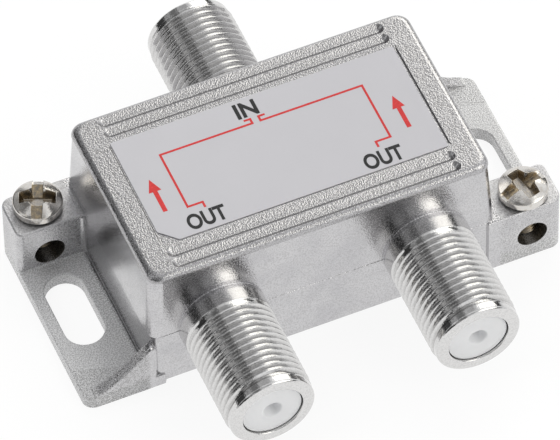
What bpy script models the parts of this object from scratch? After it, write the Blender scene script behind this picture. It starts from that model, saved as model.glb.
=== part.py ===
"""Two-way coaxial splitter, lying on its back.

A die-cast housing carries three F ports: the input towards +Y, the two outputs towards -Y. A fixing ear at each end
has a slot for a wall screw and a block that clamps a ground wire. The two ears are the same shape, turned by half a
turn about Z. The circuit hangs from ledges inside the lid, and a plate closes the back.

Metres. X runs from ear to ear, Z up through the label. The ears' underside is at Z = 0.
"""

import math

import bmesh
import bpy
from mathutils import Matrix, Vector

# Body of the casting
BODY_LENGTH = 0.0382
BODY_WIDTH = 0.0227
BODY_HEIGHT = 0.01675
PARTING_HEIGHT = 0.00765
END_LEAN = 0.0004
SIDE_LEAN = 0.0003
CORNER_RADIUS = 0.0014
END_ROUNDING = 0.0010
SIDE_ROUNDING = 0.00065
ROUNDING_DROP = 0.0008
RIM_LIFT = 0.00035
WALL = 0.0020
LID_THICKNESS = 0.0015

# Grooves and label recess in the lid
GROOVE_LENGTH = 0.0315
GROOVE_WIDTH = 0.0013
GROOVE_DEPTH = 0.00038
GROOVE_FLOOR = 0.0003
GROOVE_PITCH = 0.00142
GROOVES_PER_SIDE = 2
RECESS_DEPTH = 0.0002
RECESS_SLOPE = 0.0005
RECESS_RADIUS = 0.0006
LABEL_THICKNESS = 0.0001
LABEL_MARGIN = 0.0001
LABEL_CHAMFER = 0.00175

# Ports, with a 3/8-32 thread
PORT_LENGTH = 0.0131
PORT_SPACING = 0.0225
THREAD_DIAMETER = 0.009525
THREAD_LENGTH = 0.0096
PORT_ROOT_DIAMETER = 0.0096
COLLAR_DIAMETER = 0.0103
COLLAR_LENGTH = 0.00045
FOOT_RADIUS = 0.00035
LEAD_DIAMETER = 0.0092
LEAD_LENGTH = 0.0009
RIM_SETBACK = 0.000325
RIM_CHAMFER = 0.0002
PLUG_DIAMETER = 0.0064
PLUG_LENGTH = 0.0050
PLUG_RECESS = 0.00025
PLUG_SHOULDER = 0.0006
FUNNEL_DIAMETER = 0.0032
FUNNEL_DEPTH = 0.0008
PIN_HOLE_DIAMETER = 0.0011
CHAMBER_DEPTH = 0.0016

# Contacts
CONTACT_DIAMETER = 0.0019
CONTACT_BORE = 0.0010
CONTACT_LENGTH = 0.0060
CONTACT_SPLIT = 0.0003
SPLIT_LENGTH = 0.0035
TAIL_DIAMETER = 0.0008
PAD_LENGTH = 0.0019

# Ears
EAR_LENGTH = 0.0073
EAR_WIDTH = 0.0231
EAR_THICKNESS = 0.0016
EAR_CORNER = 0.0012
EAR_ROOT = 0.00135
EAR_EDGE = 0.0002
SLOT_WIDTH = 0.00425
SLOT_LENGTH = 0.0094
SLOT_SHIFT = 0.00015
SLOT_MARGIN = 0.00128
GUSSET_THICKNESS = 0.0009
GUSSET_HEIGHT = 0.0050
GUSSET_LENGTH = 0.0059
GUSSET_SAG = 0.00036
BLOCK_WIDTH = 0.00525
BLOCK_HEIGHT = 0.0076
BLOCK_CORNER = 0.0010
WIRE_HOLE_DIAMETER = 0.0033
WIRE_HOLE_FLOOR = 0.0019

# Ground screws, M3
SCREW_DIAMETER = 0.0029
SCREW_SETBACK = 0.00238
SCREW_CLEARANCE = 0.00015
HEAD_DIAMETER = 0.0052
HEAD_HEIGHT = 0.0018
HEAD_EDGE = 0.00036
DRIVE_WIDTH = 0.0009
DRIVE_DEPTH = 0.0009
CROSS_LENGTH = 0.0036
TIP_CHAMFER = 0.0003

# Back cover
COVER_THICKNESS = 0.0005
COVER_RECESS = 0.0001
COVER_LEDGE = 0.0004

# Circuit board and what it carries
BOARD_THICKNESS = 0.0010
LEDGE_LENGTH = 0.0026
LEDGE_WIDTH = 0.0022
INNER_RADIUS = 0.0008
CORE_WIDTH = 0.0050
CORE_HEIGHT = 0.0026
CORE_DEPTH = 0.0024
CORE_HOLE_DIAMETER = 0.0015
CORE_HOLE_SPACING = 0.0024
WINDING_WIRE = 0.0003
WINDING_PITCH = 0.00045
WINDING_REACH = 0.00045
MATCHING_TURNS = 3
DIVIDER_TURNS = 2
LEAD_WIRE = 0.0005
LEAD_STUB = 0.0007
LEAD_BEND = 0.0005
DISC_DIAMETER = 0.0028
DISC_THICKNESS = 0.0014
DISC_LEAD_SPACING = 0.0020
DISC_STANDOFF = 0.0004
RESISTOR_DIAMETER = 0.0016
RESISTOR_LENGTH = 0.0034
RESISTOR_WAIST = 0.0013
RESISTOR_CAP = 0.00085
DIODE_DIAMETER = 0.0018
DIODE_LENGTH = 0.0032
CHOKE_DIAMETER = 0.0022
CHOKE_LENGTH = 0.0042
AXIAL_EDGE = 0.00025
AXIAL_LEAD_REACH = 0.0012
PART_SPACING = 0.0006

# Clearances
SEAT_GAP = 0.0003
PRESS_GAP = 0.00015
LABEL_GAP = 0.00005

# Mesh fineness
TURNED_SIDES = 32
SMALL_SIDES = 16
SCREW_SIDES = 24
WIRE_SIDES = 8
BEND_STEPS = 3
CORNER_STEPS = 5
EDGE_STEPS = 2
OVERRUN = 0.001
MERGE_DISTANCE = 1e-7
WELD_DISTANCE = 2e-6
SHARP_ANGLE = math.radians(35)

# Worked out from the sizes above
HALF_LENGTH = BODY_LENGTH / 2
HALF_WIDTH = BODY_WIDTH / 2
EAR_REACH = HALF_LENGTH + EAR_LENGTH
EAR_HALF = EAR_WIDTH / 2
EAR_LINE = EAR_REACH - SLOT_MARGIN - SLOT_WIDTH / 2
TERMINAL_Y = EAR_HALF - SCREW_SETBACK
PORT_REACH = HALF_WIDTH + PORT_LENGTH
CAVITY_X = HALF_LENGTH - END_LEAN - WALL
CAVITY_Y = HALF_WIDTH - SIDE_LEAN - WALL + COVER_LEDGE
CAVITY_TOP = BODY_HEIGHT - LID_THICKNESS
COVER_BOTTOM = RIM_LIFT + COVER_RECESS
COVER_TOP = COVER_BOTTOM + COVER_THICKNESS
REBATE_TOP = COVER_TOP + SEAT_GAP
BOARD_BOTTOM = PARTING_HEIGHT + TAIL_DIAMETER / 2 + SEAT_GAP
BOARD_TOP = BOARD_BOTTOM + BOARD_THICKNESS
LEDGE_FACE = BOARD_TOP + SEAT_GAP
BOARD_X = CAVITY_X - SEAT_GAP
BOARD_Y = CAVITY_Y - SEAT_GAP
PLUG_FACE = PORT_REACH - PLUG_RECESS
PLUG_BACK = PLUG_FACE - PLUG_LENGTH
CHAMBER_FACE = PLUG_FACE - CHAMBER_DEPTH
SEAT_RADIUS = PLUG_DIAMETER / 2 + PRESS_GAP
SEAT_FLOOR = PLUG_BACK - SEAT_GAP
OUTER_CREST = HALF_WIDTH - SIDE_LEAN - SIDE_ROUNDING
GROOVE_Y = [OUTER_CREST - GROOVE_WIDTH / 2 - index * GROOVE_PITCH for index in range(GROOVES_PER_SIDE)]
RECESS_X = GROOVE_LENGTH / 2 + GROOVE_FLOOR / 2
RECESS_Y = GROOVE_Y[-1] - GROOVE_PITCH / 2
HEAD_SEAT = BLOCK_HEIGHT + SEAT_GAP
SCREW_LENGTH = BLOCK_HEIGHT - WIRE_HOLE_FLOOR
LEAD_END = BOARD_BOTTOM - LEAD_STUB


# Materials

def material(name, color, metallic, roughness):
    """A Principled material with one colour."""
    made = bpy.data.materials.new(name)
    made.use_nodes = True
    shader = made.node_tree.nodes["Principled BSDF"]
    shader.inputs["Base Color"].default_value = (*color, 1.0)
    shader.inputs["Metallic"].default_value = metallic
    shader.inputs["Roughness"].default_value = roughness
    return made


# Shapes

def add_object(name, bm, look=None):
    """Turns a bmesh into an object, with its faces pointing out."""
    bmesh.ops.remove_doubles(bm, verts=bm.verts, dist=MERGE_DISTANCE)
    bmesh.ops.recalc_face_normals(bm, faces=bm.faces)
    mesh = bpy.data.meshes.new(name)
    bm.to_mesh(mesh)
    bm.free()
    mesh.shade_smooth()
    mesh.set_sharp_from_angle(angle=SHARP_ANGLE)
    if look:
        mesh.materials.append(look)
    made = bpy.data.objects.new(name, mesh)
    bpy.context.scene.collection.objects.link(made)
    return made


def combine(target, operation, tools):
    """Joins the tools to the target or cuts them from it, and keeps them as hidden guides."""
    for tool in tools:
        tool.hide_render = True
        tool.display_type = "WIRE"
        step = target.modifiers.new(tool.name, "BOOLEAN")
        step.operation = operation
        step.solver = "EXACT"
        step.object = tool


def weld(made):
    """Merges the nearly equal corners that a long row of Booleans leaves."""
    made.modifiers.new("weld", "WELD").merge_threshold = WELD_DISTANCE


def arc(center, radius, start, sweep, steps):
    """Points of an arc in a plane, both ends included. Angles in radians."""
    return [
        (
            center[0] + radius * math.cos(start + sweep * step / steps),
            center[1] + radius * math.sin(start + sweep * step / steps),
        )
        for step in range(steps + 1)
    ]


def rounded_rectangle(half_x, half_y, radius):
    """Outline with four equal round corners, counter-clockwise."""
    points = []
    for turn, (side_x, side_y) in enumerate(((1, 1), (-1, 1), (-1, -1), (1, -1))):
        middle = (side_x * (half_x - radius), side_y * (half_y - radius))
        points += arc(middle, radius, turn * math.pi / 2, math.pi / 2, CORNER_STEPS)
    return points


def stadium(half_length, radius):
    """Outline of a slot along X with round ends."""
    middle = half_length - radius
    steps = 2 * CORNER_STEPS
    right = arc((middle, 0.0), radius, -math.pi / 2, math.pi, steps)
    left = arc((-middle, 0.0), radius, math.pi / 2, math.pi, steps)
    return right + left


def loft(name, sections, look=None):
    """A closed solid through outlines of equal point count, each given as (outline, height)."""
    bm = bmesh.new()
    rings = [[bm.verts.new((x, y, height)) for x, y in outline] for outline, height in sections]
    for lower, upper in zip(rings, rings[1:]):
        for index in range(len(lower)):
            after = (index + 1) % len(lower)
            bm.faces.new((lower[index], lower[after], upper[after], upper[index]))
    bm.faces.new(rings[0])
    bm.faces.new(rings[-1])
    return add_object(name, bm, look)


def prism(name, outline, bottom, top, look=None):
    """An outline extruded from one height to another."""
    return loft(name, [(outline, bottom), (outline, top)], look)


def turned(name, profile, look=None, sides=TURNED_SIDES, closed=False):
    """A profile of (radius, height) points spun about Z. A closed profile stays clear of the axis."""
    bm = bmesh.new()
    verts = [bm.verts.new((radius, 0.0, height)) for radius, height in profile]
    edges = [bm.edges.new(pair) for pair in zip(verts, verts[1:])]
    if closed:
        edges.append(bm.edges.new((verts[-1], verts[0])))
    bmesh.ops.spin(
        bm, geom=verts + edges, axis=(0, 0, 1), cent=(0, 0, 0), angle=2 * math.pi, steps=sides, use_merge=True
    )
    return add_object(name, bm, look)


def rod(name, radius, start, end, sides=TURNED_SIDES):
    """A plain round bar along Z, used as a cutter."""
    return turned(name, [(0.0, start), (radius, start), (radius, end), (0.0, end)], sides=sides)


def box(name, size, center):
    """A plain block, used as a cutter."""
    bm = bmesh.new()
    bmesh.ops.create_cube(bm, size=1.0, matrix=Matrix.Translation(center) @ Matrix.Diagonal((*size, 1.0)))
    return add_object(name, bm)


def bent_path(corners, radius):
    """A wire's route through its corners, with each bend rounded."""
    points = [Vector(corners[0])]
    for before, corner, after in zip(corners, corners[1:], corners[2:]):
        corner = Vector(corner)
        inward = (Vector(before) - corner).normalized() * radius
        outward = (Vector(after) - corner).normalized() * radius
        for step in range(BEND_STEPS + 1):
            along = step / BEND_STEPS
            points.append(corner + inward * (1 - along) ** 2 + outward * along ** 2)
    points.append(Vector(corners[-1]))
    return points


def wire(name, route, diameter, look=None):
    """A round wire along a route, as a mesh with closed ends."""
    curve = bpy.data.curves.new(name, "CURVE")
    curve.dimensions = "3D"
    curve.bevel_depth = diameter / 2
    curve.bevel_resolution = (WIRE_SIDES - 4) // 2
    curve.use_fill_caps = True
    spline = curve.splines.new("POLY")
    spline.points.add(len(route) - 1)
    for point, place in zip(spline.points, route):
        point.co = (*place, 1.0)
    guide = bpy.data.objects.new(name + "_route", curve)
    bpy.context.scene.collection.objects.link(guide)
    bpy.context.view_layer.update()
    bm = bmesh.new()
    bm.from_mesh(guide.evaluated_get(bpy.context.evaluated_depsgraph_get()).to_mesh())
    bpy.data.objects.remove(guide)
    bpy.data.curves.remove(curve)
    return add_object(name, bm, look)


def place(made, location, turn_x=0.0, turn_z=0.0):
    """Puts an object at its place, turned about X and then about Z."""
    made.location = location
    made.rotation_euler = (turn_x, 0.0, turn_z)
    return made


# Ports. Each is turned about Z and then laid along Y, with its rim away from the body

PORTS = {
    "input": (0.0, 1),
    "output_left": (-PORT_SPACING / 2, -1),
    "output_right": (PORT_SPACING / 2, -1),
}


def along_port(made, port):
    """Lays an object modelled along Z, at its distance from the body's middle, onto a port's axis."""
    port_x, side = PORTS[port]
    return place(made, (port_x, 0.0, PARTING_HEIGHT), -side * math.pi / 2)


def port_barrel(port):
    """Outside of a port, with the plug's seat open at its rim."""
    thread_end = PORT_REACH - LEAD_LENGTH
    thread_start = thread_end - THREAD_LENGTH
    collar_end = HALF_WIDTH + COLLAR_LENGTH
    inner_end = CAVITY_Y + WALL / 2
    foot = COLLAR_DIAMETER / 2 + FOOT_RADIUS
    profile = [
        (0.0, inner_end),
        (foot, inner_end),
        *arc((foot, HALF_WIDTH - SIDE_LEAN + FOOT_RADIUS), FOOT_RADIUS, -math.pi / 2, -math.pi / 2, EDGE_STEPS),
        (COLLAR_DIAMETER / 2, collar_end),
        (PORT_ROOT_DIAMETER / 2, collar_end + (COLLAR_DIAMETER - PORT_ROOT_DIAMETER) / 2),
        (PORT_ROOT_DIAMETER / 2, thread_start),
        (THREAD_DIAMETER / 2, thread_start),
        (THREAD_DIAMETER / 2, thread_end),
        (LEAD_DIAMETER / 2, thread_end),
        (LEAD_DIAMETER / 2, PORT_REACH - RIM_CHAMFER),
        (LEAD_DIAMETER / 2 - RIM_SETBACK, PORT_REACH),
        (SEAT_RADIUS, PORT_REACH),
        (SEAT_RADIUS, SEAT_FLOOR),
        (0.0, SEAT_FLOOR),
    ]
    return along_port(turned(port + "_barrel", profile), port)


def port_bore(port):
    """The smaller bore behind the plug's seat, through the wall."""
    radius = PLUG_DIAMETER / 2 - PLUG_SHOULDER
    return along_port(rod(port + "_bore", radius, CAVITY_Y - OVERRUN, SEAT_FLOOR + OVERRUN), port)


def insulator(name, port, look):
    """White plug with a funnel that leads the cable's pin into the contact."""
    pin = PIN_HOLE_DIAMETER / 2
    chamber = CONTACT_DIAMETER / 2 + PRESS_GAP
    profile = [
        (pin, PLUG_FACE - FUNNEL_DEPTH),
        (FUNNEL_DIAMETER / 2, PLUG_FACE),
        (PLUG_DIAMETER / 2, PLUG_FACE),
        (PLUG_DIAMETER / 2, PLUG_BACK),
        (chamber, PLUG_BACK),
        (chamber, CHAMBER_FACE),
        (pin, CHAMBER_FACE),
    ]
    return along_port(turned(name, profile, look, closed=True), port)


def contact(name, port, look):
    """Spring tube, split into two tines, with a tail that reaches the board."""
    front = CHAMBER_FACE - SEAT_GAP
    bore_end = front - SPLIT_LENGTH
    back = front - CONTACT_LENGTH
    tail_end = BOARD_Y - PAD_LENGTH
    profile = [
        (0.0, bore_end),
        (CONTACT_BORE / 2, bore_end),
        (CONTACT_BORE / 2, front),
        (CONTACT_DIAMETER / 2, front),
        (CONTACT_DIAMETER / 2, back),
        (TAIL_DIAMETER / 2, back),
        (TAIL_DIAMETER / 2, tail_end),
        (0.0, tail_end),
    ]
    made = along_port(turned(name, profile, look, sides=SMALL_SIDES), port)
    size = (2 * CONTACT_DIAMETER, CONTACT_SPLIT, 2 * SPLIT_LENGTH)
    split = along_port(box(name + "_split", size, (0.0, 0.0, front)), port)
    combine(made, "DIFFERENCE", [split])
    return made


# Ears. Both use the left ear's sizes: "out" runs away from the body and "along" towards the block

def on_ear(side, points):
    """Outline points (out, along) of an ear, as X and Y. The side is -1 at the left and 1 at the right."""
    return [(side * out, -side * along) for out, along in points]


def ear_outline(near, near_corner, drawn_in):
    """An ear's plan from a place along it to its far end, rounded at its outer corners and drawn in by an edge."""
    inner = HALF_LENGTH - EAR_ROOT
    near_middle = (EAR_REACH - near_corner, near + near_corner)
    far_middle = (EAR_REACH - EAR_CORNER, EAR_HALF - EAR_CORNER)
    points = [(inner, near + drawn_in)]
    points += arc(near_middle, near_corner - drawn_in, -math.pi / 2, math.pi / 2, CORNER_STEPS)
    points += arc(far_middle, EAR_CORNER - drawn_in, 0.0, math.pi / 2, CORNER_STEPS)
    points.append((inner, EAR_HALF - drawn_in))
    return points


def ear_pad(name, side, near, near_corner, height):
    """A flat-topped part of an ear, standing on the wall's plane, with a rounded upper edge."""
    sections = [(on_ear(side, ear_outline(near, near_corner, 0.0)), 0.0)]
    for step in range(EDGE_STEPS + 1):
        angle = math.pi / 2 * step / EDGE_STEPS
        outline = ear_outline(near, near_corner, EAR_EDGE * (1 - math.cos(angle)))
        sections.append((on_ear(side, outline), height - EAR_EDGE * (1 - math.sin(angle))))
    return loft(name, sections)


def gusset(name, side):
    """Web at the ear's open end, with a hollow upper edge from the flange up to the wall."""
    foot_out = HALF_LENGTH + GUSSET_LENGTH
    top_out = HALF_LENGTH - EAR_ROOT / 2
    base = EAR_THICKNESS / 2
    rise = GUSSET_HEIGHT
    run = foot_out - HALF_LENGTH
    edge = []
    for step in range(CORNER_STEPS + 1):
        share = step / CORNER_STEPS
        sag = 4 * GUSSET_SAG * share * (1 - share)
        edge.append((foot_out - run * share, EAR_THICKNESS + rise * share - sag))
    outline = [(top_out, base), (foot_out, base), *edge, (top_out, edge[-1][1])]
    bm = bmesh.new()
    verts = [bm.verts.new((side * out, side * EAR_HALF, height)) for out, height in outline]
    face = bm.faces.new(verts)
    pushed = bmesh.ops.extrude_face_region(bm, geom=[face])["geom"]
    moved = [item for item in pushed if isinstance(item, bmesh.types.BMVert)]
    bmesh.ops.translate(bm, verts=moved, vec=(0.0, -side * GUSSET_THICKNESS, 0.0))
    return add_object(name, bm)


def ear_solids(label, side):
    flange = ear_pad(label + "_flange", side, -EAR_HALF, EAR_CORNER, EAR_THICKNESS)
    block = ear_pad(label + "_block", side, EAR_HALF - BLOCK_WIDTH, BLOCK_CORNER, BLOCK_HEIGHT)
    return [flange, block, gusset(label + "_gusset", side)]


def ear_cuts(label, side):
    slot_plan = [(EAR_LINE - y, x - SLOT_SHIFT) for x, y in stadium(SLOT_LENGTH / 2, SLOT_WIDTH / 2)]
    slot = prism(label + "_slot", on_ear(side, slot_plan), -OVERRUN, EAR_THICKNESS + OVERRUN)
    hole_axis = WIRE_HOLE_FLOOR + WIRE_HOLE_DIAMETER / 2
    hole_start = EAR_HALF - BLOCK_WIDTH - OVERRUN
    hole = rod(label + "_wire_hole", WIRE_HOLE_DIAMETER / 2, hole_start, EAR_HALF + OVERRUN, SCREW_SIDES)
    place(hole, (side * EAR_LINE, 0.0, hole_axis), side * math.pi / 2)
    screw_radius = SCREW_DIAMETER / 2 + SCREW_CLEARANCE
    hole_top = BLOCK_HEIGHT + OVERRUN
    screw_hole = rod(label + "_screw_hole", screw_radius, WIRE_HOLE_FLOOR, hole_top, SCREW_SIDES)
    place(screw_hole, (side * EAR_LINE, -side * TERMINAL_Y, 0.0))
    return [slot, hole, screw_hole]


# Housing

def body_shell(look):
    """The drafted box with its rounded lid, before anything is joined to it or cut from it."""
    top_x = HALF_LENGTH - END_LEAN
    top_y = HALF_WIDTH - SIDE_LEAN
    sections = [
        (rounded_rectangle(HALF_LENGTH, HALF_WIDTH, CORNER_RADIUS), RIM_LIFT),
        (rounded_rectangle(HALF_LENGTH, HALF_WIDTH, CORNER_RADIUS), PARTING_HEIGHT),
    ]
    for step in range(CORNER_STEPS + 1):
        angle = math.pi / 2 * step / CORNER_STEPS
        half_x = top_x - END_ROUNDING * (1 - math.cos(angle))
        half_y = top_y - SIDE_ROUNDING * (1 - math.cos(angle))
        height = BODY_HEIGHT - ROUNDING_DROP * (1 - math.sin(angle))
        sections.append((rounded_rectangle(half_x, half_y, CORNER_RADIUS), height))
    return loft("housing", sections, look)


def lid_grooves():
    """Two V grooves with round ends beside each long edge."""
    made = []
    slope = (GROOVE_WIDTH - GROOVE_FLOOR) / 2
    for side in (-1, 1):
        for index, groove_y in enumerate(GROOVE_Y):
            sections = []
            for spread, height in ((0.0, -GROOVE_DEPTH), (slope, 0.0), (slope, OVERRUN)):
                plan = stadium(GROOVE_LENGTH / 2 - slope + spread, GROOVE_FLOOR / 2 + spread)
                plan = [(x, y + side * groove_y) for x, y in plan]
                sections.append((plan, BODY_HEIGHT + height))
            made.append(loft(f"groove_{side}_{index}", sections))
    return made


def label_recess():
    sections = []
    for spread, height in ((0.0, -RECESS_DEPTH), (1.0, 0.0), (1.0, OVERRUN)):
        half_x = RECESS_X - RECESS_DEPTH * (1 - spread)
        half_y = RECESS_Y - RECESS_SLOPE * (1 - spread)
        sections.append((rounded_rectangle(half_x, half_y, RECESS_RADIUS), BODY_HEIGHT + height))
    return loft("label_recess", sections)


def cavity():
    """Room for the circuit. Its upper part leaves a ledge in each corner, which the board seats against."""
    lower = prism("cavity_lower", rounded_rectangle(CAVITY_X, CAVITY_Y, INNER_RADIUS), -OVERRUN, LEDGE_FACE)
    short_x = CAVITY_X - LEDGE_LENGTH
    short_y = CAVITY_Y - LEDGE_WIDTH
    quarter = [(CAVITY_X, short_y), (short_x, short_y), (short_x, CAVITY_Y)]
    cross = quarter + [(-x, y) for x, y in reversed(quarter)]
    cross += [(-x, -y) for x, y in quarter] + [(x, -y) for x, y in reversed(quarter)]
    upper = prism("cavity_upper", cross, LEDGE_FACE - OVERRUN, CAVITY_TOP)
    plan = rounded_rectangle(CAVITY_X + COVER_LEDGE, CAVITY_Y + COVER_LEDGE, INNER_RADIUS + COVER_LEDGE)
    rebate = prism("cover_rebate", plan, -OVERRUN, REBATE_TOP)
    return [lower, upper, rebate]


def housing(look):
    made = body_shell(look)
    additions = [port_barrel(port) for port in PORTS]
    cuts = [*cavity(), *lid_grooves(), label_recess()]
    cuts += [port_bore(port) for port in PORTS]
    for label, side in (("left", -1), ("right", 1)):
        additions += ear_solids(label, side)
        cuts += ear_cuts(label, side)
    combine(made, "UNION", additions)
    combine(made, "DIFFERENCE", cuts)
    weld(made)
    return made


def back_cover(look):
    half_x = CAVITY_X + COVER_LEDGE - PRESS_GAP
    half_y = CAVITY_Y + COVER_LEDGE - PRESS_GAP
    plan = rounded_rectangle(half_x, half_y, INNER_RADIUS + COVER_LEDGE - PRESS_GAP)
    return prism("back_cover", plan, COVER_BOTTOM, COVER_TOP, look)


def label(look):
    """Printed sheet in the lid's recess, with one corner cut off."""
    half_x = RECESS_X - RECESS_DEPTH - LABEL_MARGIN
    half_y = RECESS_Y - RECESS_SLOPE - LABEL_MARGIN / 2
    bottom = BODY_HEIGHT - RECESS_DEPTH + LABEL_GAP
    plan = [(half_x, half_y), (-half_x, half_y), (-half_x, -half_y + LABEL_CHAMFER)]
    plan += [(-half_x + LABEL_CHAMFER, -half_y), (half_x, -half_y)]
    return prism("label", plan, bottom, bottom + LABEL_THICKNESS, look)


# Ground screws

def ground_screw(name, side, look):
    """Pan head with a cross and a slot. Its tip meets the floor of the wire hole as its head meets the block."""
    head = HEAD_DIAMETER / 2
    shank = SCREW_DIAMETER / 2
    dome = [
        (head * math.sin(angle), HEAD_EDGE + (HEAD_HEIGHT - HEAD_EDGE) * math.cos(angle))
        for angle in (math.pi / 2 * step / CORNER_STEPS for step in range(CORNER_STEPS + 1))
    ]
    profile = [
        *dome,
        (head, 0.0),
        (shank, 0.0),
        (shank, -SCREW_LENGTH + TIP_CHAMFER),
        (shank - TIP_CHAMFER, -SCREW_LENGTH),
        (0.0, -SCREW_LENGTH),
    ]
    location = (side * EAR_LINE, -side * TERMINAL_Y, HEAD_SEAT)
    made = place(turned(name, profile, look, sides=SCREW_SIDES), location)
    drives = []
    for label_, length, turn in (("slot", 2 * head + OVERRUN, 0.0), ("cross", CROSS_LENGTH, math.pi / 2)):
        drive = box(f"{name}_{label_}", (length, DRIVE_WIDTH, 2 * DRIVE_DEPTH), (0.0, 0.0, HEAD_HEIGHT))
        drives.append(place(drive, location, turn_z=turn))
    combine(made, "DIFFERENCE", drives)
    return made


# Circuit. Each part stands on the board, and its leads pass through holes in it

def disc_capacitor(name, middle, along_y, look):
    """Ceramic disc on edge, with two leads under it."""
    radius = DISC_DIAMETER / 2
    half = DISC_THICKNESS / 2
    center_z = BOARD_TOP + DISC_STANDOFF + radius
    profile = [
        (radius * math.sin(angle), -half * math.cos(angle))
        for angle in (math.pi * step / (2 * CORNER_STEPS) for step in range(2 * CORNER_STEPS + 1))
    ]
    turn = math.pi / 2 if along_y else 0.0
    made = place(turned(name, profile, look, sides=SMALL_SIDES), (*middle, center_z), math.pi / 2, turn)
    holes = []
    leads = []
    for index, side in enumerate((-1, 1)):
        offset = side * DISC_LEAD_SPACING / 2
        hole = (middle[0] + (0.0 if along_y else offset), middle[1] + (offset if along_y else 0.0))
        leads.append(wire(f"{name}_lead_{index}", [(*hole, center_z), (*hole, LEAD_END)], LEAD_WIRE))
        holes.append(hole)
    combine(made, "UNION", leads)
    return made, holes


def axial_part(name, middle, along_y, diameter, length, waist, look):
    """Round body lying above the board, with a lead bent down at each end."""
    radius = diameter / 2
    center_z = BOARD_TOP + SEAT_GAP + radius
    half = length / 2
    outer = half - AXIAL_EDGE
    inner = half - RESISTOR_CAP
    profile = [
        (0.0, -half),
        (radius - AXIAL_EDGE, -half),
        (radius, -outer),
        (radius, -inner),
        (waist / 2, AXIAL_EDGE - inner),
        (waist / 2, inner - AXIAL_EDGE),
        (radius, inner),
        (radius, outer),
        (radius - AXIAL_EDGE, half),
        (0.0, half),
    ]
    turn = 0.0 if along_y else math.pi / 2
    made = place(turned(name, profile, look, sides=SMALL_SIDES), (*middle, center_z), math.pi / 2, turn)
    reach = half + AXIAL_LEAD_REACH
    step = (0.0, reach) if along_y else (reach, 0.0)
    holes = [(middle[0] - step[0], middle[1] - step[1]), (middle[0] + step[0], middle[1] + step[1])]
    corners = [(*holes[0], LEAD_END), (*holes[0], center_z), (*holes[1], center_z), (*holes[1], LEAD_END)]
    combine(made, "UNION", [wire(name + "_lead", bent_path(corners, LEAD_BEND), LEAD_WIRE)])
    return made, holes


def ferrite_core(name, middle_y, look):
    """Two-hole bead lying on the board, with its holes along Y."""
    bottom = BOARD_TOP + SEAT_GAP
    plan = stadium(CORE_WIDTH / 2, CORE_HEIGHT / 2)
    made = prism(name, plan, -CORE_DEPTH / 2, CORE_DEPTH / 2, look)
    center = (0.0, middle_y, bottom + CORE_HEIGHT / 2)
    place(made, center, math.pi / 2)
    holes = []
    for index, side in enumerate((-1, 1)):
        hole = rod(f"{name}_hole_{index}", CORE_HOLE_DIAMETER / 2, -CORE_DEPTH, CORE_DEPTH, SMALL_SIDES)
        holes.append(place(hole, (side * CORE_HOLE_SPACING / 2, center[1], center[2]), math.pi / 2))
    combine(made, "DIFFERENCE", holes)
    return made


def winding(name, middle_y, turns, look):
    """Enamelled wire that passes through both holes of its core, once for each turn."""
    hole_x = CORE_HOLE_SPACING / 2
    center_z = BOARD_TOP + SEAT_GAP + CORE_HEIGHT / 2
    back = middle_y + CORE_DEPTH / 2 + WINDING_REACH
    front = middle_y - CORE_DEPTH / 2 - WINDING_REACH
    entry = front - WINDING_REACH
    first = center_z - (turns - 1) * WINDING_PITCH / 2
    corners = [(-hole_x, entry, LEAD_END), (-hole_x, entry, first)]
    for turn in range(turns):
        height = first + turn * WINDING_PITCH
        corners += [(-hole_x, back, height), (hole_x, back, height)]
        if turn < turns - 1:
            corners += [(hole_x, front, height), (-hole_x, front, height + WINDING_PITCH)]
    corners += [(hole_x, entry, height), (hole_x, entry, LEAD_END)]
    made = wire(name, bent_path(corners, WINDING_WIRE), WINDING_WIRE, look)
    return made, [(-hole_x, entry), (hole_x, entry)]


def circuit(looks):
    """Everything on the board, set out in columns from the middle, and the board with its lead holes."""
    made = []
    holes = []

    def keep(pair):
        made.append(pair[0])
        holes.extend(pair[1])

    core_y = CORE_DEPTH / 2 + 2 * WINDING_REACH + PART_SPACING / 2
    for name, middle_y, turns in (("matching", core_y, MATCHING_TURNS), ("divider", -core_y, DIVIDER_TURNS)):
        made.append(ferrite_core(name + "_core", middle_y, looks["ferrite"]))
        keep(winding(name + "_winding", middle_y, turns, looks["enamel"]))
    core_reach = core_y + CORE_DEPTH / 2 + 2 * WINDING_REACH + WINDING_WIRE / 2
    disc_x = CORE_WIDTH / 2 + PART_SPACING + DISC_THICKNESS / 2
    diode_x = disc_x + DISC_THICKNESS / 2 + PART_SPACING + DIODE_DIAMETER / 2
    choke_x = diode_x + DIODE_DIAMETER / 2 + PART_SPACING + CHOKE_DIAMETER / 2
    resistor_y = -core_reach - SEAT_GAP - RESISTOR_DIAMETER / 2
    input_y = core_reach + DISC_THICKNESS / 2
    keep(disc_capacitor("input_capacitor", (0.0, input_y), False, looks["ceramic"]))
    keep(disc_capacitor("matching_capacitor", (disc_x, core_y), True, looks["ceramic"]))
    keep(
        axial_part(
            "balance_resistor", (0.0, resistor_y), False, RESISTOR_DIAMETER, RESISTOR_LENGTH, RESISTOR_WAIST,
            looks["resistor"],
        )
    )
    for side_name, side in (("left", -1), ("right", 1)):
        keep(disc_capacitor(f"output_capacitor_{side_name}", (side * disc_x, -core_y), True, looks["ceramic"]))
        diode_place = (side * diode_x, 0.0)
        keep(
            axial_part(
                f"diode_{side_name}", diode_place, True, DIODE_DIAMETER, DIODE_LENGTH, DIODE_DIAMETER,
                looks["diode"],
            )
        )
        choke_place = (side * choke_x, 0.0)
        keep(
            axial_part(
                f"choke_{side_name}", choke_place, True, CHOKE_DIAMETER, CHOKE_LENGTH, CHOKE_DIAMETER,
                looks["choke"],
            )
        )
    made.append(circuit_board(holes, looks["board"]))
    return made


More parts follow.
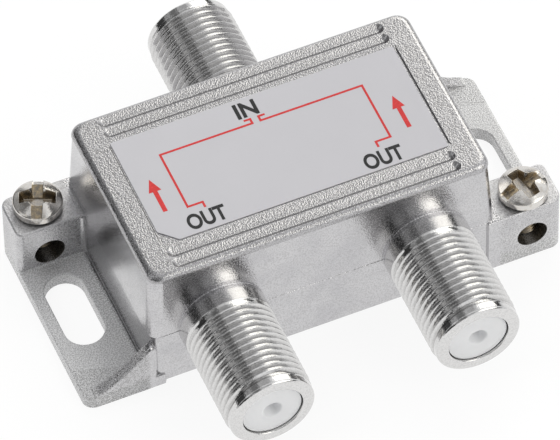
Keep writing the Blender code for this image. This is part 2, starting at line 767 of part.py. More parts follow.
def circuit_board(holes, look):
    board = prism(
        "circuit_board", rounded_rectangle(BOARD_X, BOARD_Y, INNER_RADIUS), BOARD_BOTTOM, BOARD_TOP, look
    )
    drills = []
    for index, hole in enumerate(holes):
        drill = rod(
            f"lead_hole_{index}", LEAD_WIRE / 2 + SEAT_GAP, BOARD_BOTTOM - OVERRUN, BOARD_TOP + OVERRUN, WIRE_SIDES
        )
        drills.append(place(drill, (*hole, 0.0)))
    combine(board, "DIFFERENCE", drills)
    return board


# The whole splitter

def clear_scene():
    for old in list(bpy.data.objects):
        bpy.data.objects.remove(old)


def build():
    clear_scene()
    plated = material("nickel_plated_zinc", (0.62, 0.61, 0.60), 1.0, 0.3)
    tinned = material("tinned_steel", (0.66, 0.66, 0.65), 1.0, 0.35)
    screw_metal = material("nickel_plated_steel", (0.70, 0.68, 0.65), 1.0, 0.18)
    spring_metal = material("tinned_bronze", (0.72, 0.66, 0.52), 1.0, 0.3)
    plug_plastic = material("white_plastic", (0.86, 0.86, 0.85), 0.0, 0.4)
    sheet = material("label_sheet", (0.53, 0.53, 0.55), 0.2, 0.45)
    looks = {
        "ferrite": material("ferrite", (0.05, 0.05, 0.055), 0.0, 0.6),
        "enamel": material("enamelled_copper", (0.55, 0.20, 0.08), 1.0, 0.3),
        "ceramic": material("ceramic_coating", (0.62, 0.33, 0.10), 0.0, 0.5),
        "resistor": material("resistor_coating", (0.55, 0.43, 0.28), 0.0, 0.5),
        "diode": material("diode_epoxy", (0.03, 0.03, 0.03), 0.0, 0.4),
        "choke": material("choke_coating", (0.10, 0.22, 0.12), 0.0, 0.45),
        "board": material("board_laminate", (0.40, 0.31, 0.14), 0.0, 0.55),
    }
    pieces = [housing(plated), back_cover(tinned), label(sheet)]
    for side_name, side in (("left", -1), ("right", 1)):
        pieces.append(ground_screw(f"ground_screw_{side_name}", side, screw_metal))
    for port in PORTS:
        group, _, side_name = port.partition("_")
        ending = "_" + side_name if side_name else ""
        pieces.append(insulator(f"{group}_insulator{ending}", port, plug_plastic))
        pieces.append(contact(f"{group}_contact{ending}", port, spring_metal))
    pieces += circuit(looks)
    splitter = bpy.data.objects.new("splitter", None)
    bpy.context.scene.collection.objects.link(splitter)
    for piece in pieces:
        piece.parent = splitter


build()
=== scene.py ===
# %% [markdown]
# A two-way coaxial splitter is a small die-cast box with three threaded ports. This lesson dresses its
# imported model: the solids already have their places, so each piece here is fitted to the box of the solid
# that it stands for. The whole object is loaded first.

# %% Load the model
import math

import bmesh
import bpy
import numpy
from mathutils import Matrix, Vector


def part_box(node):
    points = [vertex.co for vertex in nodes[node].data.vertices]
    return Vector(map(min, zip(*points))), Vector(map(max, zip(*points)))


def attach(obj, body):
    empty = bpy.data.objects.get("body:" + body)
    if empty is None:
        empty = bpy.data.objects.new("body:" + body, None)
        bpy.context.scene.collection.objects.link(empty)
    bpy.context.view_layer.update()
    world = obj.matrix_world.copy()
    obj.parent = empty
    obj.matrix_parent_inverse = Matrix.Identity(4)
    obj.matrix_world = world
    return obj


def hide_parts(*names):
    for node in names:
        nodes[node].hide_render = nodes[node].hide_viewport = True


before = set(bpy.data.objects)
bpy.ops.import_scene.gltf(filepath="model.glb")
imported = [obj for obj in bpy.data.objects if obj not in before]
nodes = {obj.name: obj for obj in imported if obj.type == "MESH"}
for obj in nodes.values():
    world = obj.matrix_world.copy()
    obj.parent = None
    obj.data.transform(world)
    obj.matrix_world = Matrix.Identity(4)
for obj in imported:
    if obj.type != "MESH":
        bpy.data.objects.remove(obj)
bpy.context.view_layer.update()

# %% [markdown]
# Everything on this object is a few millimetres across, and Blender counts in metres. A named millimetre
# keeps the sizes below readable. The places that other pieces depend on are read from the model's own
# boxes: how far the ports reach, where the lid and the label lie, and the axis of each port and of each
# screw.

# %% Read the sizes
MM = 0.001


def span(node):
    """The lowest and highest corner, the middle and the size of a solid."""
    low, high = (Vector(corner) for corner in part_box(node))
    return low, high, (low + high) / 2, high - low


def plug_node(port):
    """The solid in a port's mouth: output_left has output_insulator_left."""
    first, _, side = port.partition("_")
    return f"{first}_insulator_{side}".rstrip("_")


EAR_REACH, PORT_REACH, LID = span("housing")[1]
LABEL_TOP = span("label")[1].z
PORTS = {}
for port in ("input", "output_left", "output_right"):
    middle = span(plug_node(port))[2]
    PORTS[port] = (middle.x, middle.z, 1 if middle.y > 0 else -1)
print("ears reach", round(EAR_REACH / MM, 2), "mm, ports reach", round(PORT_REACH / MM, 2), "mm")
print("port axes:", {port: (round(x / MM, 2), round(z / MM, 2)) for port, (x, z, _) in PORTS.items()})

# %% [markdown]
# Materials are node trees. Written out socket by socket they are long and hard to read, so two small
# classes help. A Graph adds any node from its type, its settings and its sockets. A Socket wraps one
# output, and its operators add Math nodes, so that a mask can be written as a sum or a product, as on
# paper.

# %% Two helpers for node trees
class Socket:
    """One output of a node. Arithmetic on it adds Math nodes."""

    def __init__(self, graph, socket):
        self.graph = graph
        self.socket = socket

    def other(self, name):
        """Another output of the same node."""
        return Socket(self.graph, self.socket.node.outputs[name])

    def __add__(self, value):
        return self.graph.math("ADD", self, value)

    __radd__ = __add__

    def __sub__(self, value):
        return self.graph.math("SUBTRACT", self, value)

    def __rsub__(self, value):
        return self.graph.math("SUBTRACT", value, self)

    def __mul__(self, value):
        return self.graph.math("MULTIPLY", self, value)

    __rmul__ = __mul__

    def __truediv__(self, value):
        return self.graph.math("DIVIDE", self, value)

    def __abs__(self):
        return self.graph.math("ABSOLUTE", self)

    def rise(self, low, high):
        """0 below low, 1 above high, and a smooth step between them."""
        settings = {"interpolation_type": "SMOOTHSTEP"}
        sockets = {"Value": self, "From Min": low, "From Max": high}
        return self.graph.add("ShaderNodeMapRange", settings, sockets)


class Graph:
    """A node tree, and the one way in which nodes are added to it."""

    def __init__(self, tree):
        self.tree = tree
        tree.nodes.clear()

    def add(self, kind, settings=None, sockets=None, output=0):
        node = self.tree.nodes.new(kind)
        for name, value in (settings or {}).items():
            setattr(node, name, value)
        for name, value in (sockets or {}).items():
            if isinstance(value, Socket):
                self.tree.links.new(value.socket, node.inputs[name])
            else:
                node.inputs[name].default_value = value
        return Socket(self, node.outputs[output]) if node.outputs else node

    def math(self, operation, *values):
        return self.add("ShaderNodeMath", {"operation": operation}, dict(enumerate(values)))

    def lerp(self, share, first, second):
        """The first value where the share is 0, the second where it is 1."""
        return (1 - share) * first + share * second

    def mix(self, share, first, second):
        """The first colour where the share is 0, the second where it is 1."""
        return self.add("ShaderNodeMix", {"data_type": "RGBA"}, {0: share, 6: first, 7: second}, output=2)

    def noise(self, place, size, detail=2.0, roughness=0.5):
        """Noise whose lumps are about as wide as the size."""
        sockets = {"Vector": place, "Scale": 1 / size, "Detail": detail, "Roughness": roughness}
        return self.add("ShaderNodeTexNoise", {}, sockets)

    def length(self, first, second):
        """How long a way with these two parts is."""
        return self.math("SQRT", first * first + second * second)

    def bump(self, height, distance, strength=1.0, edge=None):
        """A normal from a height. A Bevel node can also round the light over edges of that radius."""
        sockets = {"Strength": strength, "Distance": distance, "Height": height}
        if edge:
            sockets["Normal"] = self.add("ShaderNodeBevel", {"samples": 6}, {"Radius": edge})
        return self.add("ShaderNodeBump", {}, sockets)

    def parts(self, vector):
        """The X, Y and Z of a vector."""
        first = self.add("ShaderNodeSeparateXYZ", {}, {0: vector})
        return first, first.other("Y"), first.other("Z")


def rgb(red, green, blue):
    return (red, green, blue, 1.0)


def new_material(name):
    """A material with an empty node tree, and the place on the object that its textures follow."""
    made = bpy.data.materials.new(name)
    made.use_nodes = True
    graph = Graph(made.node_tree)
    return made, graph, graph.add("ShaderNodeTexCoord", output="Object")


def finish_with(graph, **sockets):
    """Ends a tree in a Principled shader. Underlines in the names stand for spaces."""
    named = {name.replace("_", " "): value for name, value in sockets.items()}
    shader = graph.add("ShaderNodeBsdfPrincipled", {}, named)
    graph.add("ShaderNodeOutputMaterial", {}, {"Surface": shader})


print("node helpers ready")

# %% [markdown]
# The camera stands far off and looks through a long lens, as product photographers do, so that the box's
# edges stay nearly parallel. Its direction is given as an azimuth, an elevation and a small roll.

# %% Camera
AZIMUTH = math.radians(-22.072)
ELEVATION = math.radians(52.29)
ROLL = math.radians(-1.397)
CAMERA_DISTANCE = 841.8 * MM
CAMERA_TARGET = Vector((-0.9, -1.951, 7.0)) * MM
LENS = 531.1


def direction(azimuth, elevation):
    """Unit vector towards an azimuth, clockwise from +Y seen from above, and an elevation, in radians."""
    flat = math.cos(elevation)
    return Vector((math.sin(azimuth) * flat, math.cos(azimuth) * flat, math.sin(elevation)))


toward_camera = direction(math.pi - AZIMUTH, ELEVATION)
across = Vector((0, 0, 1)).cross(toward_camera).normalized()
above = toward_camera.cross(across)
camera_right = across * math.cos(ROLL) + above * math.sin(ROLL)
camera_up = above * math.cos(ROLL) - across * math.sin(ROLL)
camera_data = bpy.data.cameras.new("camera")
camera_data.lens = LENS
camera = bpy.data.objects.new("camera", camera_data)
bpy.context.scene.collection.objects.link(camera)
turn = Matrix((camera_right, camera_up, toward_camera)).transposed().to_4x4()
camera.matrix_world = Matrix.Translation(CAMERA_TARGET + toward_camera * CAMERA_DISTANCE) @ turn
bpy.context.scene.camera = camera
bpy.context.scene.view_settings.view_transform = "Standard"
print("camera", round(CAMERA_DISTANCE, 3), "m away, lens", LENS, "mm")

# %% [markdown]
# Bright plating has almost no colour of its own: what we see is the room. So the light is a large pale room
# with a long softbox to the right of the object and black card to its left, both as long as the table. Each
# strip lies between two angles from straight up, so the world's shader needs only the lean of a direction
# to the side.

# %% World
ROOM_LEVEL = 0.85
# Lowest and highest lean, softness in degrees, brightness, and where along Y the strip starts.
ZONES = [
    (-96, -56, 3, 0.05, 0.1),
    (-54, -45, 5, 0.2, 0.3),
    (-43, -14, 7, 0.18, 0.1),
    (-12, 14, 5, 0.45, 0.3),
    (20, 66, 5, 1.0, 0.1),
    (26, 66, 5, 2.8, 0.35),
    (68, 84, 2, 0.04, 0.3),
]


def window(value, low, high, soft):
    """1 between low and high, 0 outside, with soft edges."""
    return value.rise(low - soft, low + soft) * (1 - value.rise(high - soft, high + soft))


def build_world():
    """Long strips of light and shade beside the object, each between two angles from straight up."""
    world = bpy.data.worlds.new("studio")
    world.use_nodes = True
    graph = Graph(world.node_tree)
    x, y, z = graph.parts(graph.add("ShaderNodeTexCoord", output="Generated"))
    lean = graph.math("ARCTAN2", x, z) * math.degrees(1)
    level = ROOM_LEVEL
    for low, high, soft, brightness, start in ZONES:
        length = window(abs(y), start, 1.1 - start * 0.75, 0.05)
        level = graph.lerp(window(lean, low, high, soft) * length, level, brightness)
    tint = graph.mix(level.rise(0.9, 2.2), rgb(0.985, 0.99, 1.0), rgb(1.0, 0.985, 0.93))
    lit = graph.add("ShaderNodeBackground", {}, {"Color": tint, "Strength": level})
    backdrop = graph.add("ShaderNodeBackground", {}, {"Color": rgb(1, 1, 1), "Strength": 1.0})
    seen = graph.add("ShaderNodeLightPath", output="Is Camera Ray")
    shown = graph.add("ShaderNodeMixShader", {}, {0: seen, 1: lit, 2: backdrop})
    graph.add("ShaderNodeOutputWorld", {}, {"Surface": shown})
    bpy.context.scene.world = world


build_world()
print(len(ZONES), "zones of light and shade")

# %% [markdown]
# Two real lamps give the shadows a direction and light the matt faces. The floor is a pale sheet that keeps
# the object's shadow. To the camera and in reflections it is partly its own light, so that it reads as a
# white sweep without more light on the object.

# %% Lamps and floor
LAMP_DISTANCE = 0.5
# Azimuth and elevation in degrees, size in metres and power in watts.
LAMPS = {"back_lamp": (20, 55, 0.28, 0.5), "left_lamp": (-75, 50, 0.35, 0.85)}
FLOOR_SIZE = 3.0
FLOOR_GLOW = 0.9


def build_lamp(name):
    azimuth, elevation, size, power = LAMPS[name]
    lamp_data = bpy.data.lights.new(name, "AREA")
    lamp_data.size = size
    lamp_data.energy = power
    lamp = bpy.data.objects.new(name, lamp_data)
    aim = direction(math.radians(azimuth), math.radians(elevation))
    lamp.location = aim * LAMP_DISTANCE
    lamp.rotation_euler = aim.to_track_quat("Z", "Y").to_euler()
    lamp.visible_glossy = False
    bpy.context.scene.collection.objects.link(lamp)


def build_floor():
    made, graph, _ = new_material("pale_sheet")
    path = graph.add("ShaderNodeLightPath", output="Is Camera Ray")
    mirrored = graph.math("MAXIMUM", path.other("Is Glossy Ray"), path.other("Is Transmission Ray"))
    seen = graph.math("MAXIMUM", path, mirrored)
    paper = graph.add("ShaderNodeBsdfDiffuse", {}, {"Color": rgb(0.9, 0.9, 0.9)})
    glow = graph.add("ShaderNodeEmission", {}, {"Color": rgb(1, 1, 1), "Strength": 1.0})
    shown = graph.add("ShaderNodeMixShader", {}, {0: seen * FLOOR_GLOW, 1: paper, 2: glow})
    graph.add("ShaderNodeOutputMaterial", {}, {"Surface": shown})
    bm = bmesh.new()
    bmesh.ops.create_grid(bm, x_segments=1, y_segments=1, size=FLOOR_SIZE / 2)
    mesh = bpy.data.meshes.new("floor")
    bm.to_mesh(mesh)
    bm.free()
    mesh.materials.append(made)
    floor = bpy.data.objects.new("floor", mesh)
    bpy.context.scene.collection.objects.link(floor)


for name in LAMPS:
    build_lamp(name)
build_floor()
print(len(LAMPS), "lamps and the floor placed")

# %% [markdown]
# Most pieces here are either turned on a lathe or cast as a drafted block. Two mesh makers cover both: one
# spins a profile of radius and height about Z, the other lofts between outlines. Both return closed meshes,
# because a Boolean needs to know what is inside.

# %% Mesh makers
MERGE_DISTANCE = 1e-7


def add_object(name, bm, look=None):
    """Turns a bmesh into an object with its faces pointing out."""
    bmesh.ops.remove_doubles(bm, verts=bm.verts, dist=MERGE_DISTANCE)
    bmesh.ops.recalc_face_normals(bm, faces=bm.faces)
    mesh = bpy.data.meshes.new(name)
    bm.to_mesh(mesh)
    bm.free()
    if look:
        mesh.materials.append(look)
    made = bpy.data.objects.new(name, mesh)
    bpy.context.scene.collection.objects.link(made)
    return made


def smooth(made, angle=32):
    """Smooth shading with sharp edges kept, and large flat faces left flat."""
    made.data.shade_smooth()
    made.data.set_sharp_from_angle(angle=math.radians(angle))
    step = made.modifiers.new("even_normals", "WEIGHTED_NORMAL")
    step.keep_sharp = True
    step.weight = 100


def arc(center, radius, start, sweep, steps):
    """Points of an arc, both ends included. Angles in degrees."""
    angles = [math.radians(start + sweep * step / steps) for step in range(steps + 1)]
    return [(center[0] + radius * math.cos(angle), center[1] + radius * math.sin(angle)) for angle in angles]


def quarter_turn(steps):
    """Pairs of 1 - cosine and sine from 0 to 90 degrees: how far a rounded edge goes in and up."""
    angles = [math.pi / 2 * step / steps for step in range(steps + 1)]
    return [(1 - math.cos(angle), math.sin(angle)) for angle in angles]


def rounded_rectangle(half_x, half_y, radius, steps=10):
    points = []
    for quarter, (side_x, side_y) in enumerate(((1, 1), (-1, 1), (-1, -1), (1, -1))):
        middle = (side_x * (half_x - radius), side_y * (half_y - radius))
        points += arc(middle, radius, quarter * 90, 90, steps)
    return points


def stadium(half_length, radius, steps=16):
    """Outline of a slot along X with round ends."""
    middle = half_length - radius
    return arc((middle, 0), radius, -90, 180, steps) + arc((-middle, 0), radius, 90, 180, steps)


def shifted(outline, x, y):
    return [(px + x, py + y) for px, py in outline]


def inset(outline, distance):
    """A convex outline drawn in by a distance. The outline runs counter-clockwise."""
    count = len(outline)
    moved = []
    for index, point in enumerate(outline):
        before = Vector(outline[index - 1])
        after = Vector(outline[(index + 1) % count])
        here = Vector(point)
        first = (here - before).normalized()
        second = (after - here).normalized()
        normal = Vector((-first.y - second.y, first.x + second.x)).normalized()
        stretch = max(0.5, normal.dot(Vector((-first.y, first.x))))
        moved.append(tuple(here + normal * distance / stretch))
    return moved


def skin(name, rings, look=None):
    """A closed solid through rings of equal point count."""
    bm = bmesh.new()
    rings = [[bm.verts.new(point) for point in ring] for ring in rings]
    for lower, upper in zip(rings, rings[1:]):
        for index in range(len(lower)):
            after = (index + 1) % len(lower)
            bm.faces.new((lower[index], lower[after], upper[after], upper[index]))
    bm.faces.new(rings[0])
    bm.faces.new(rings[-1])
    return add_object(name, bm, look)


def loft(name, sections, look=None):
    """A closed solid through flat outlines, each given as (outline, height)."""
    return skin(name, [[(x, y, height) for x, y in outline] for outline, height in sections], look)


def turned(name, profile, sides, look=None):
    """A profile of (radius, height) points spun about Z."""
    bm = bmesh.new()
    verts = [bm.verts.new((radius, 0.0, height)) for radius, height in profile]
    edges = [bm.edges.new(pair) for pair in zip(verts, verts[1:])]
    if profile[0][0] > 0:
        edges.append(bm.edges.new((verts[-1], verts[0])))
    bmesh.ops.spin(
        bm, geom=verts + edges, axis=(0, 0, 1), cent=(0, 0, 0), angle=2 * math.pi, steps=sides, use_merge=True
    )
    return add_object(name, bm, look)


def combine(made, operation, tools):
    """Joins the tools to a mesh or cuts them from it, and removes them."""
    for tool in tools:
        step = made.modifiers.new(tool.name, "BOOLEAN")
        step.operation = operation
        step.solver = "EXACT"
        step.object = tool
    bpy.context.view_layer.update()
    shape = made.evaluated_get(bpy.context.evaluated_depsgraph_get())
    mesh = bpy.data.meshes.new_from_object(shape)
    made.modifiers.clear()
    made.data = mesh
    for tool in tools:
        bpy.data.objects.remove(tool)
    return made


def dress(made, look):
    """Gives a piece one material in place of what it has."""
    made.data.materials.clear()
    made.data.materials.append(look)


def open_edges(made):
    """How many edges don't have exactly two faces. A closed solid has none."""
    bm = bmesh.new()
    bm.from_mesh(made.data)
    count = sum(1 for edge in bm.edges if len(edge.link_faces) != 2)
    bm.free()
    return count


def moved(made, matrix):
    """Places a mesh by changing its points, so that its object stays at the origin."""
    made.data.transform(matrix)
    return made


print("mesh makers ready")

# %% [markdown]
# A screw thread is a ridge that climbs by one pitch at each turn. The grid below does the same: each ring
# of points rises as it goes round, so the crests and roots lie exactly on grid lines and stay crisp. At
# both ends the points stop at a flat ring, which lets the thread be sewn into a plain band of the same
# radius.

# %% Thread maker
ON_BAND = 1e-6
# Share of the pitch, and share of the way from the root to the crest.
THREAD_FORM = [
    (0.0, 0.0), (0.12, 0.02), (0.2, 0.14), (0.38, 0.82), (0.44, 0.96), (0.5, 1.0), (0.56, 0.96), (0.62, 0.82),
    (0.8, 0.14), (0.88, 0.02),
]


def cut_thread(made, matrix, start, end, band, root, crest, pitch, sides, fade):
    """Replaces a plain band about a local Z axis, from start to end, with a thread."""
    place = matrix.inverted()
    bm = bmesh.new()
    bm.from_mesh(made.data)
    doomed = []
    for face in bm.faces:
        local = [place @ vert.co for vert in face.verts]
        heights = [point.z for point in local]
        radii = [math.hypot(point.x, point.y) for point in local]
        spans = abs(min(heights) - start) < ON_BAND and abs(max(heights) - end) < ON_BAND
        if spans and max(abs(radius - band) for radius in radii) < ON_BAND:
            doomed.append(face)
    bmesh.ops.delete(bm, geom=doomed, context="FACES")
    rise = pitch / len(THREAD_FORM)
    rows = int((end - start) / rise) + 2 * len(THREAD_FORM) + 2
    grid = []
    for row in range(rows):
        phase, share = THREAD_FORM[row % len(THREAD_FORM)]
        turn_start = start + (row // len(THREAD_FORM) + phase - 1) * pitch
        ring = []
        for column in range(sides):
            height = min(max(turn_start + pitch * column / sides, start), end)
            strength = min(1.0, (height - start) / fade, (end - height) / fade)
            radius = band + (root + (crest - root) * share - band) * strength
            angle = 2 * math.pi * column / sides
            ring.append((radius * math.cos(angle), radius * math.sin(angle), height))
        grid.append(ring)
    points = {}

    def point(row, column):
        """The grid's point, shared where the ends bring several together."""
        if column == sides:
            row, column = row + len(THREAD_FORM), 0
        spot = grid[min(row, rows - 1)][column]
        key = (column, round(spot[2], 9), round(math.hypot(*spot[:2]), 9))
        if key not in points:
            points[key] = bm.verts.new(matrix @ Vector(spot))
        return points[key]

    for row in range(rows - 1):
        for column in range(sides):
            corners = [point(row, column), point(row, column + 1)]
            corners += [point(row + 1, column + 1), point(row + 1, column)]
            corners = list(dict.fromkeys(corners))
            if len(corners) > 2:
                bm.faces.new(corners)
    bmesh.ops.remove_doubles(bm, verts=bm.verts, dist=2 * MERGE_DISTANCE)
    bmesh.ops.recalc_face_normals(bm, faces=bm.faces)
    bm.to_mesh(made.data)
    bm.free()
    print(made.name, "thread:", len(doomed), "band faces replaced")


# %% [markdown]
# The casting is one piece of zinc alloy: the box, three ports and two ears come out of one mould. Its walls
# lean in a little above and below the line where the mould halves met, and that line shows as a thin seam
# at the height of the ports' axes. We loft the drafted box first, with the seam and the small ledge under
# its rounded lid edge.

# %% Casting: the drafted box
HALF_LENGTH = 19.1 * MM
HALF_WIDTH = 11.35 * MM
SEAM_HEIGHT = PORTS["input"][1]
SEAM_WIDTH = 0.3 * MM
SEAM_PROUD = 0.055 * MM
END_LEAN = 0.4 * MM
SIDE_LEAN = 0.3 * MM
CORNER_RADIUS = 1.4 * MM
END_ROUNDING = 0.75 * MM
SIDE_ROUNDING = 0.65 * MM
ROUNDING_DROP = 0.8 * MM
LEDGE_DEPTH = 0.07 * MM
LEDGE_HEIGHT = 0.08 * MM
RIM_LIFT = 0.35 * MM
RIM_CHAMFER = 0.1 * MM
WALL = 2.0 * MM
LID_THICKNESS = 1.5 * MM
ROUNDING_STEPS = 12


def box_section(lean, proud, height):
    """An outline of the drafted box. The lean runs from 0 at the seam to 1 under the lid's edge."""
    half_x = HALF_LENGTH - END_LEAN * lean + min(proud, 0)
    half_y = HALF_WIDTH - SIDE_LEAN * lean + proud
    return rounded_rectangle(half_x, half_y, CORNER_RADIUS), height


def casting_box():
    shoulder = LID - ROUNDING_DROP
    sections = [
        box_section(0, -RIM_CHAMFER, RIM_LIFT),
        box_section(0, 0, RIM_LIFT + RIM_CHAMFER),
        box_section(0, 0, SEAM_HEIGHT - SEAM_WIDTH / 2),
        box_section(0, SEAM_PROUD, SEAM_HEIGHT - SEAM_WIDTH / 4),
        box_section(0, SEAM_PROUD, SEAM_HEIGHT + SEAM_WIDTH / 4),
        box_section(0, 0, SEAM_HEIGHT + SEAM_WIDTH / 2),
        box_section(1, -LEDGE_DEPTH, shoulder - LEDGE_HEIGHT),
        box_section(1, -LEDGE_DEPTH, shoulder - LEDGE_HEIGHT / 4),
    ]
    for inward, upward in quarter_turn(ROUNDING_STEPS):
        half_x = HALF_LENGTH - END_LEAN - END_ROUNDING * inward
        half_y = HALF_WIDTH - SIDE_LEAN - SIDE_ROUNDING * inward
        plan = rounded_rectangle(half_x, half_y, CORNER_RADIUS)
        sections.append((plan, shoulder + ROUNDING_DROP * upward))
    return loft("casting", sections)


casting = casting_box()
print("drafted box:", len(casting.data.polygons), "faces")

# %% [markdown]
# A port is a turned shape: a plain neck where it grows out of the wall, the threaded length, a smooth lead
# at its mouth and a rounded rim. The thread is left as a plain band for now, because Booleans are quicker
# and safer on simple shapes.

# %% Casting: ports
PORT_SIDES = 96
FOOT_RADIUS = 0.04 * MM
COLLAR_RADIUS = 4.74 * MM
COLLAR_END = 13.3 * MM
COLLAR_EDGE = 0.12 * MM
THREAD_START = 13.42 * MM
THREAD_BAND = 4.5 * MM
THREAD_CREST = 4.7625 * MM
THREAD_ROOT = 4.3 * MM
THREAD_PITCH = 25.4 / 32 * MM
THREAD_FADE = 0.3 * MM
LEAD_RADIUS = 4.6 * MM
LEAD_START = 23.62 * MM
THREAD_END = LEAD_START - 0.08 * MM
RIM_ROUNDING = 0.34 * MM
MOUTH_RADIUS = 3.28 * MM
MOUTH_EDGE = 0.04 * MM
SHOULDER_DEPTH = 5.5 * MM
BORE_RADIUS = 2.6 * MM
OVERRUN = 1.0 * MM


def port_matrix(port):
    """Lays a shape made along Z onto a port's axis, pointing away from the box."""
    x, z, side = PORTS[port]
    return Matrix.Translation((x, 0, z)) @ Matrix.Rotation(-side * math.pi / 2, 4, "X")


def port_stem(port):
    start = HALF_WIDTH - WALL / 2
    foot = HALF_WIDTH - SIDE_LEAN / 2
    profile = [(0, start), (COLLAR_RADIUS + FOOT_RADIUS, start)]
    profile += arc((COLLAR_RADIUS + FOOT_RADIUS, foot + FOOT_RADIUS), FOOT_RADIUS, 270, -90, 6)
    profile += arc((COLLAR_RADIUS - COLLAR_EDGE, COLLAR_END - COLLAR_EDGE), COLLAR_EDGE, 0, 60, 4)
    profile += [(THREAD_BAND, THREAD_START), (THREAD_BAND, THREAD_END), (LEAD_RADIUS, LEAD_START)]
    profile += arc((LEAD_RADIUS - RIM_ROUNDING, PORT_REACH - RIM_ROUNDING), RIM_ROUNDING, 0, 90, 8)
    profile += [(0, PORT_REACH)]
    return moved(turned(port + "_stem", profile, PORT_SIDES), port_matrix(port))


def port_bore(port):
    shoulder = PORT_REACH - SHOULDER_DEPTH
    start = HALF_WIDTH - WALL - OVERRUN
    profile = [(0, start), (BORE_RADIUS, start), (BORE_RADIUS, shoulder), (MOUTH_RADIUS, shoulder)]
    profile += [(MOUTH_RADIUS, PORT_REACH - MOUTH_EDGE)]
    profile += [(MOUTH_RADIUS + 2 * MOUTH_EDGE, PORT_REACH + MOUTH_EDGE), (0, PORT_REACH + MOUTH_EDGE)]
    return moved(turned(port + "_bore", profile, PORT_SIDES), port_matrix(port))


stems = [port_stem(port) for port in PORTS]
bores = [port_bore(port) for port in PORTS]
print(len(stems), "port stems,", round(PORT_REACH / MM, 2), "mm from the middle")

# %% [markdown]
# An ear is a slotted flange with a web at one end and a block at the other. The block holds the screw that
# clamps a ground wire. Both ears are the same casting turned by half a turn, so one set of functions makes
# both: "out" runs away from the box, and "along" runs towards the block.

# %% Casting: ears
EAR_HALF = 11.55 * MM
EAR_THICKNESS = 1.6 * MM
EAR_CORNER = 1.2 * MM
EDGE_ROUNDING = 0.22 * MM
EDGE_STEPS = 5
BOTTOM_EDGE = 0.1 * MM
FLANGE_ROOT = 0.8 * MM
SLOT_LENGTH = 9.4 * MM
SLOT_WIDTH = 4.25 * MM
SLOT_SHIFT = 0.15 * MM
SLOT_MARGIN = 1.28 * MM
EAR_LINE = EAR_REACH - SLOT_MARGIN - SLOT_WIDTH / 2
GUSSET_THICKNESS = 1.25 * MM
GUSSET_HEIGHT = 5.0 * MM
GUSSET_LENGTH = 6.3 * MM
GUSSET_TIP = 0.985
GUSSET_STEPS = 28
GUSSET_SAG = 0.36 * MM
GUSSET_ROUNDING = 0.5 * MM
GUSSET_HIDDEN = 0.6 * MM
BLOCK_WIDTH = 5.25 * MM
BLOCK_HEIGHT = 7.6 * MM
BLOCK_CORNER = 0.7 * MM
WIRE_HOLE_RADIUS = 1.65 * MM
WIRE_HOLE_HEIGHT = 3.55 * MM
SCREW_HOLE_RADIUS = 1.6 * MM
SCREW_HOLE_START = WIRE_HOLE_HEIGHT + 0.13 * MM
HOLE_SIDES = 40
COVE = 0.45 * MM
POST_COVE = 1.4 * COVE
FOOT_COVE = 0.22 * MM
WEB_COVE = 0.6 * MM
BURIED = 0.3 * MM
HAIR = 0.02 * MM


def on_ear(side, outline):
    """Points (out, along) of an ear as X and Y."""
    return [(side * out, -side * along) for out, along in outline]


def free_corner(along, radius, start):
    """The round corner of an ear at its outer edge, from the side where the outline comes in."""
    middle = along + radius if start < 0 else along - radius
    return arc((EAR_REACH - radius, middle), radius, start, 90, 8)


def pad(name, side, outline, bottom, height, edge):
    """An ear's flange or block from its outline, with a rounded upper edge."""
    sections = [(inset(outline, BOTTOM_EDGE), bottom), (outline, bottom + BOTTOM_EDGE)]
    for inward, upward in quarter_turn(EDGE_STEPS):
        sections.append((inset(outline, edge * inward), height - edge * (1 - upward)))
    return loft(name, [(on_ear(side, plan), level) for plan, level in sections])


def gusset(side):
    """Web from inside the wall down to the flange's corner, with a hollow, rounded upper edge.

    Inside the wall it draws in and down, so that none of it shows at the box's round corner.
    """
    rings = []
    start = HALF_LENGTH - WALL / 2 + 2 * HAIR
    end = HALF_LENGTH + GUSSET_LENGTH * GUSSET_TIP
    for step in range(GUSSET_STEPS + 1):
        out = start + (end - start) * step / GUSSET_STEPS
        hidden = max(0.0, (HALF_LENGTH - out) / (HALF_LENGTH - start)) ** 2
        fall = max(0.0, (out - HALF_LENGTH) / GUSSET_LENGTH)
        rise = GUSSET_HEIGHT * (1 - fall) - 4 * GUSSET_SAG * fall * (1 - fall) - 2 * GUSSET_HIDDEN * hidden
        top = EAR_THICKNESS + rise
        round_off = min(GUSSET_ROUNDING, rise * 0.45)
        foot = min(WEB_COVE, (rise - round_off) * 0.8)
        low = GUSSET_HIDDEN * hidden - EAR_HALF
        high = low + GUSSET_THICKNESS
        section = [(low, BOTTOM_EDGE), (high + foot, BOTTOM_EDGE)]
        section += arc((high + foot, EAR_THICKNESS + foot - HAIR / 2), foot, 270, -90, 6)
        section += arc((high - round_off, top - round_off), round_off, 0, 90, 6)
        section += arc((low + round_off, top - round_off), round_off, 90, 90, 6)
        rings.append([(side * out, -side * along, height) for along, height in section])
    return skin(f"gusset_{side}", rings)


def cove(name, side, stations):
    """Hollow fillet in an inner corner.

    A station is the corner, the ways along its two faces and the radius. Points and ways are given as
    (out, along, height).
    """
    turn = Matrix.Diagonal((side, -side, 1))
    rings = []
    for corner, first, second, radius in stations:
        corner, first, second = Vector(corner), Vector(first), Vector(second)
        ring = [corner - (first + second) * BURIED, corner + first * radius - second * BURIED]
        middle = corner + (first + second) * (radius - HAIR / 2)
        for step in range(7):
            angle = math.pi / 2 * step / 6
            ring.append(middle - second * radius * math.cos(angle) - first * radius * math.sin(angle))
        ring.append(corner + second * radius - first * BURIED)
        rings.append([turn @ point for point in ring])
    return skin(f"{name}_{side}", rings)


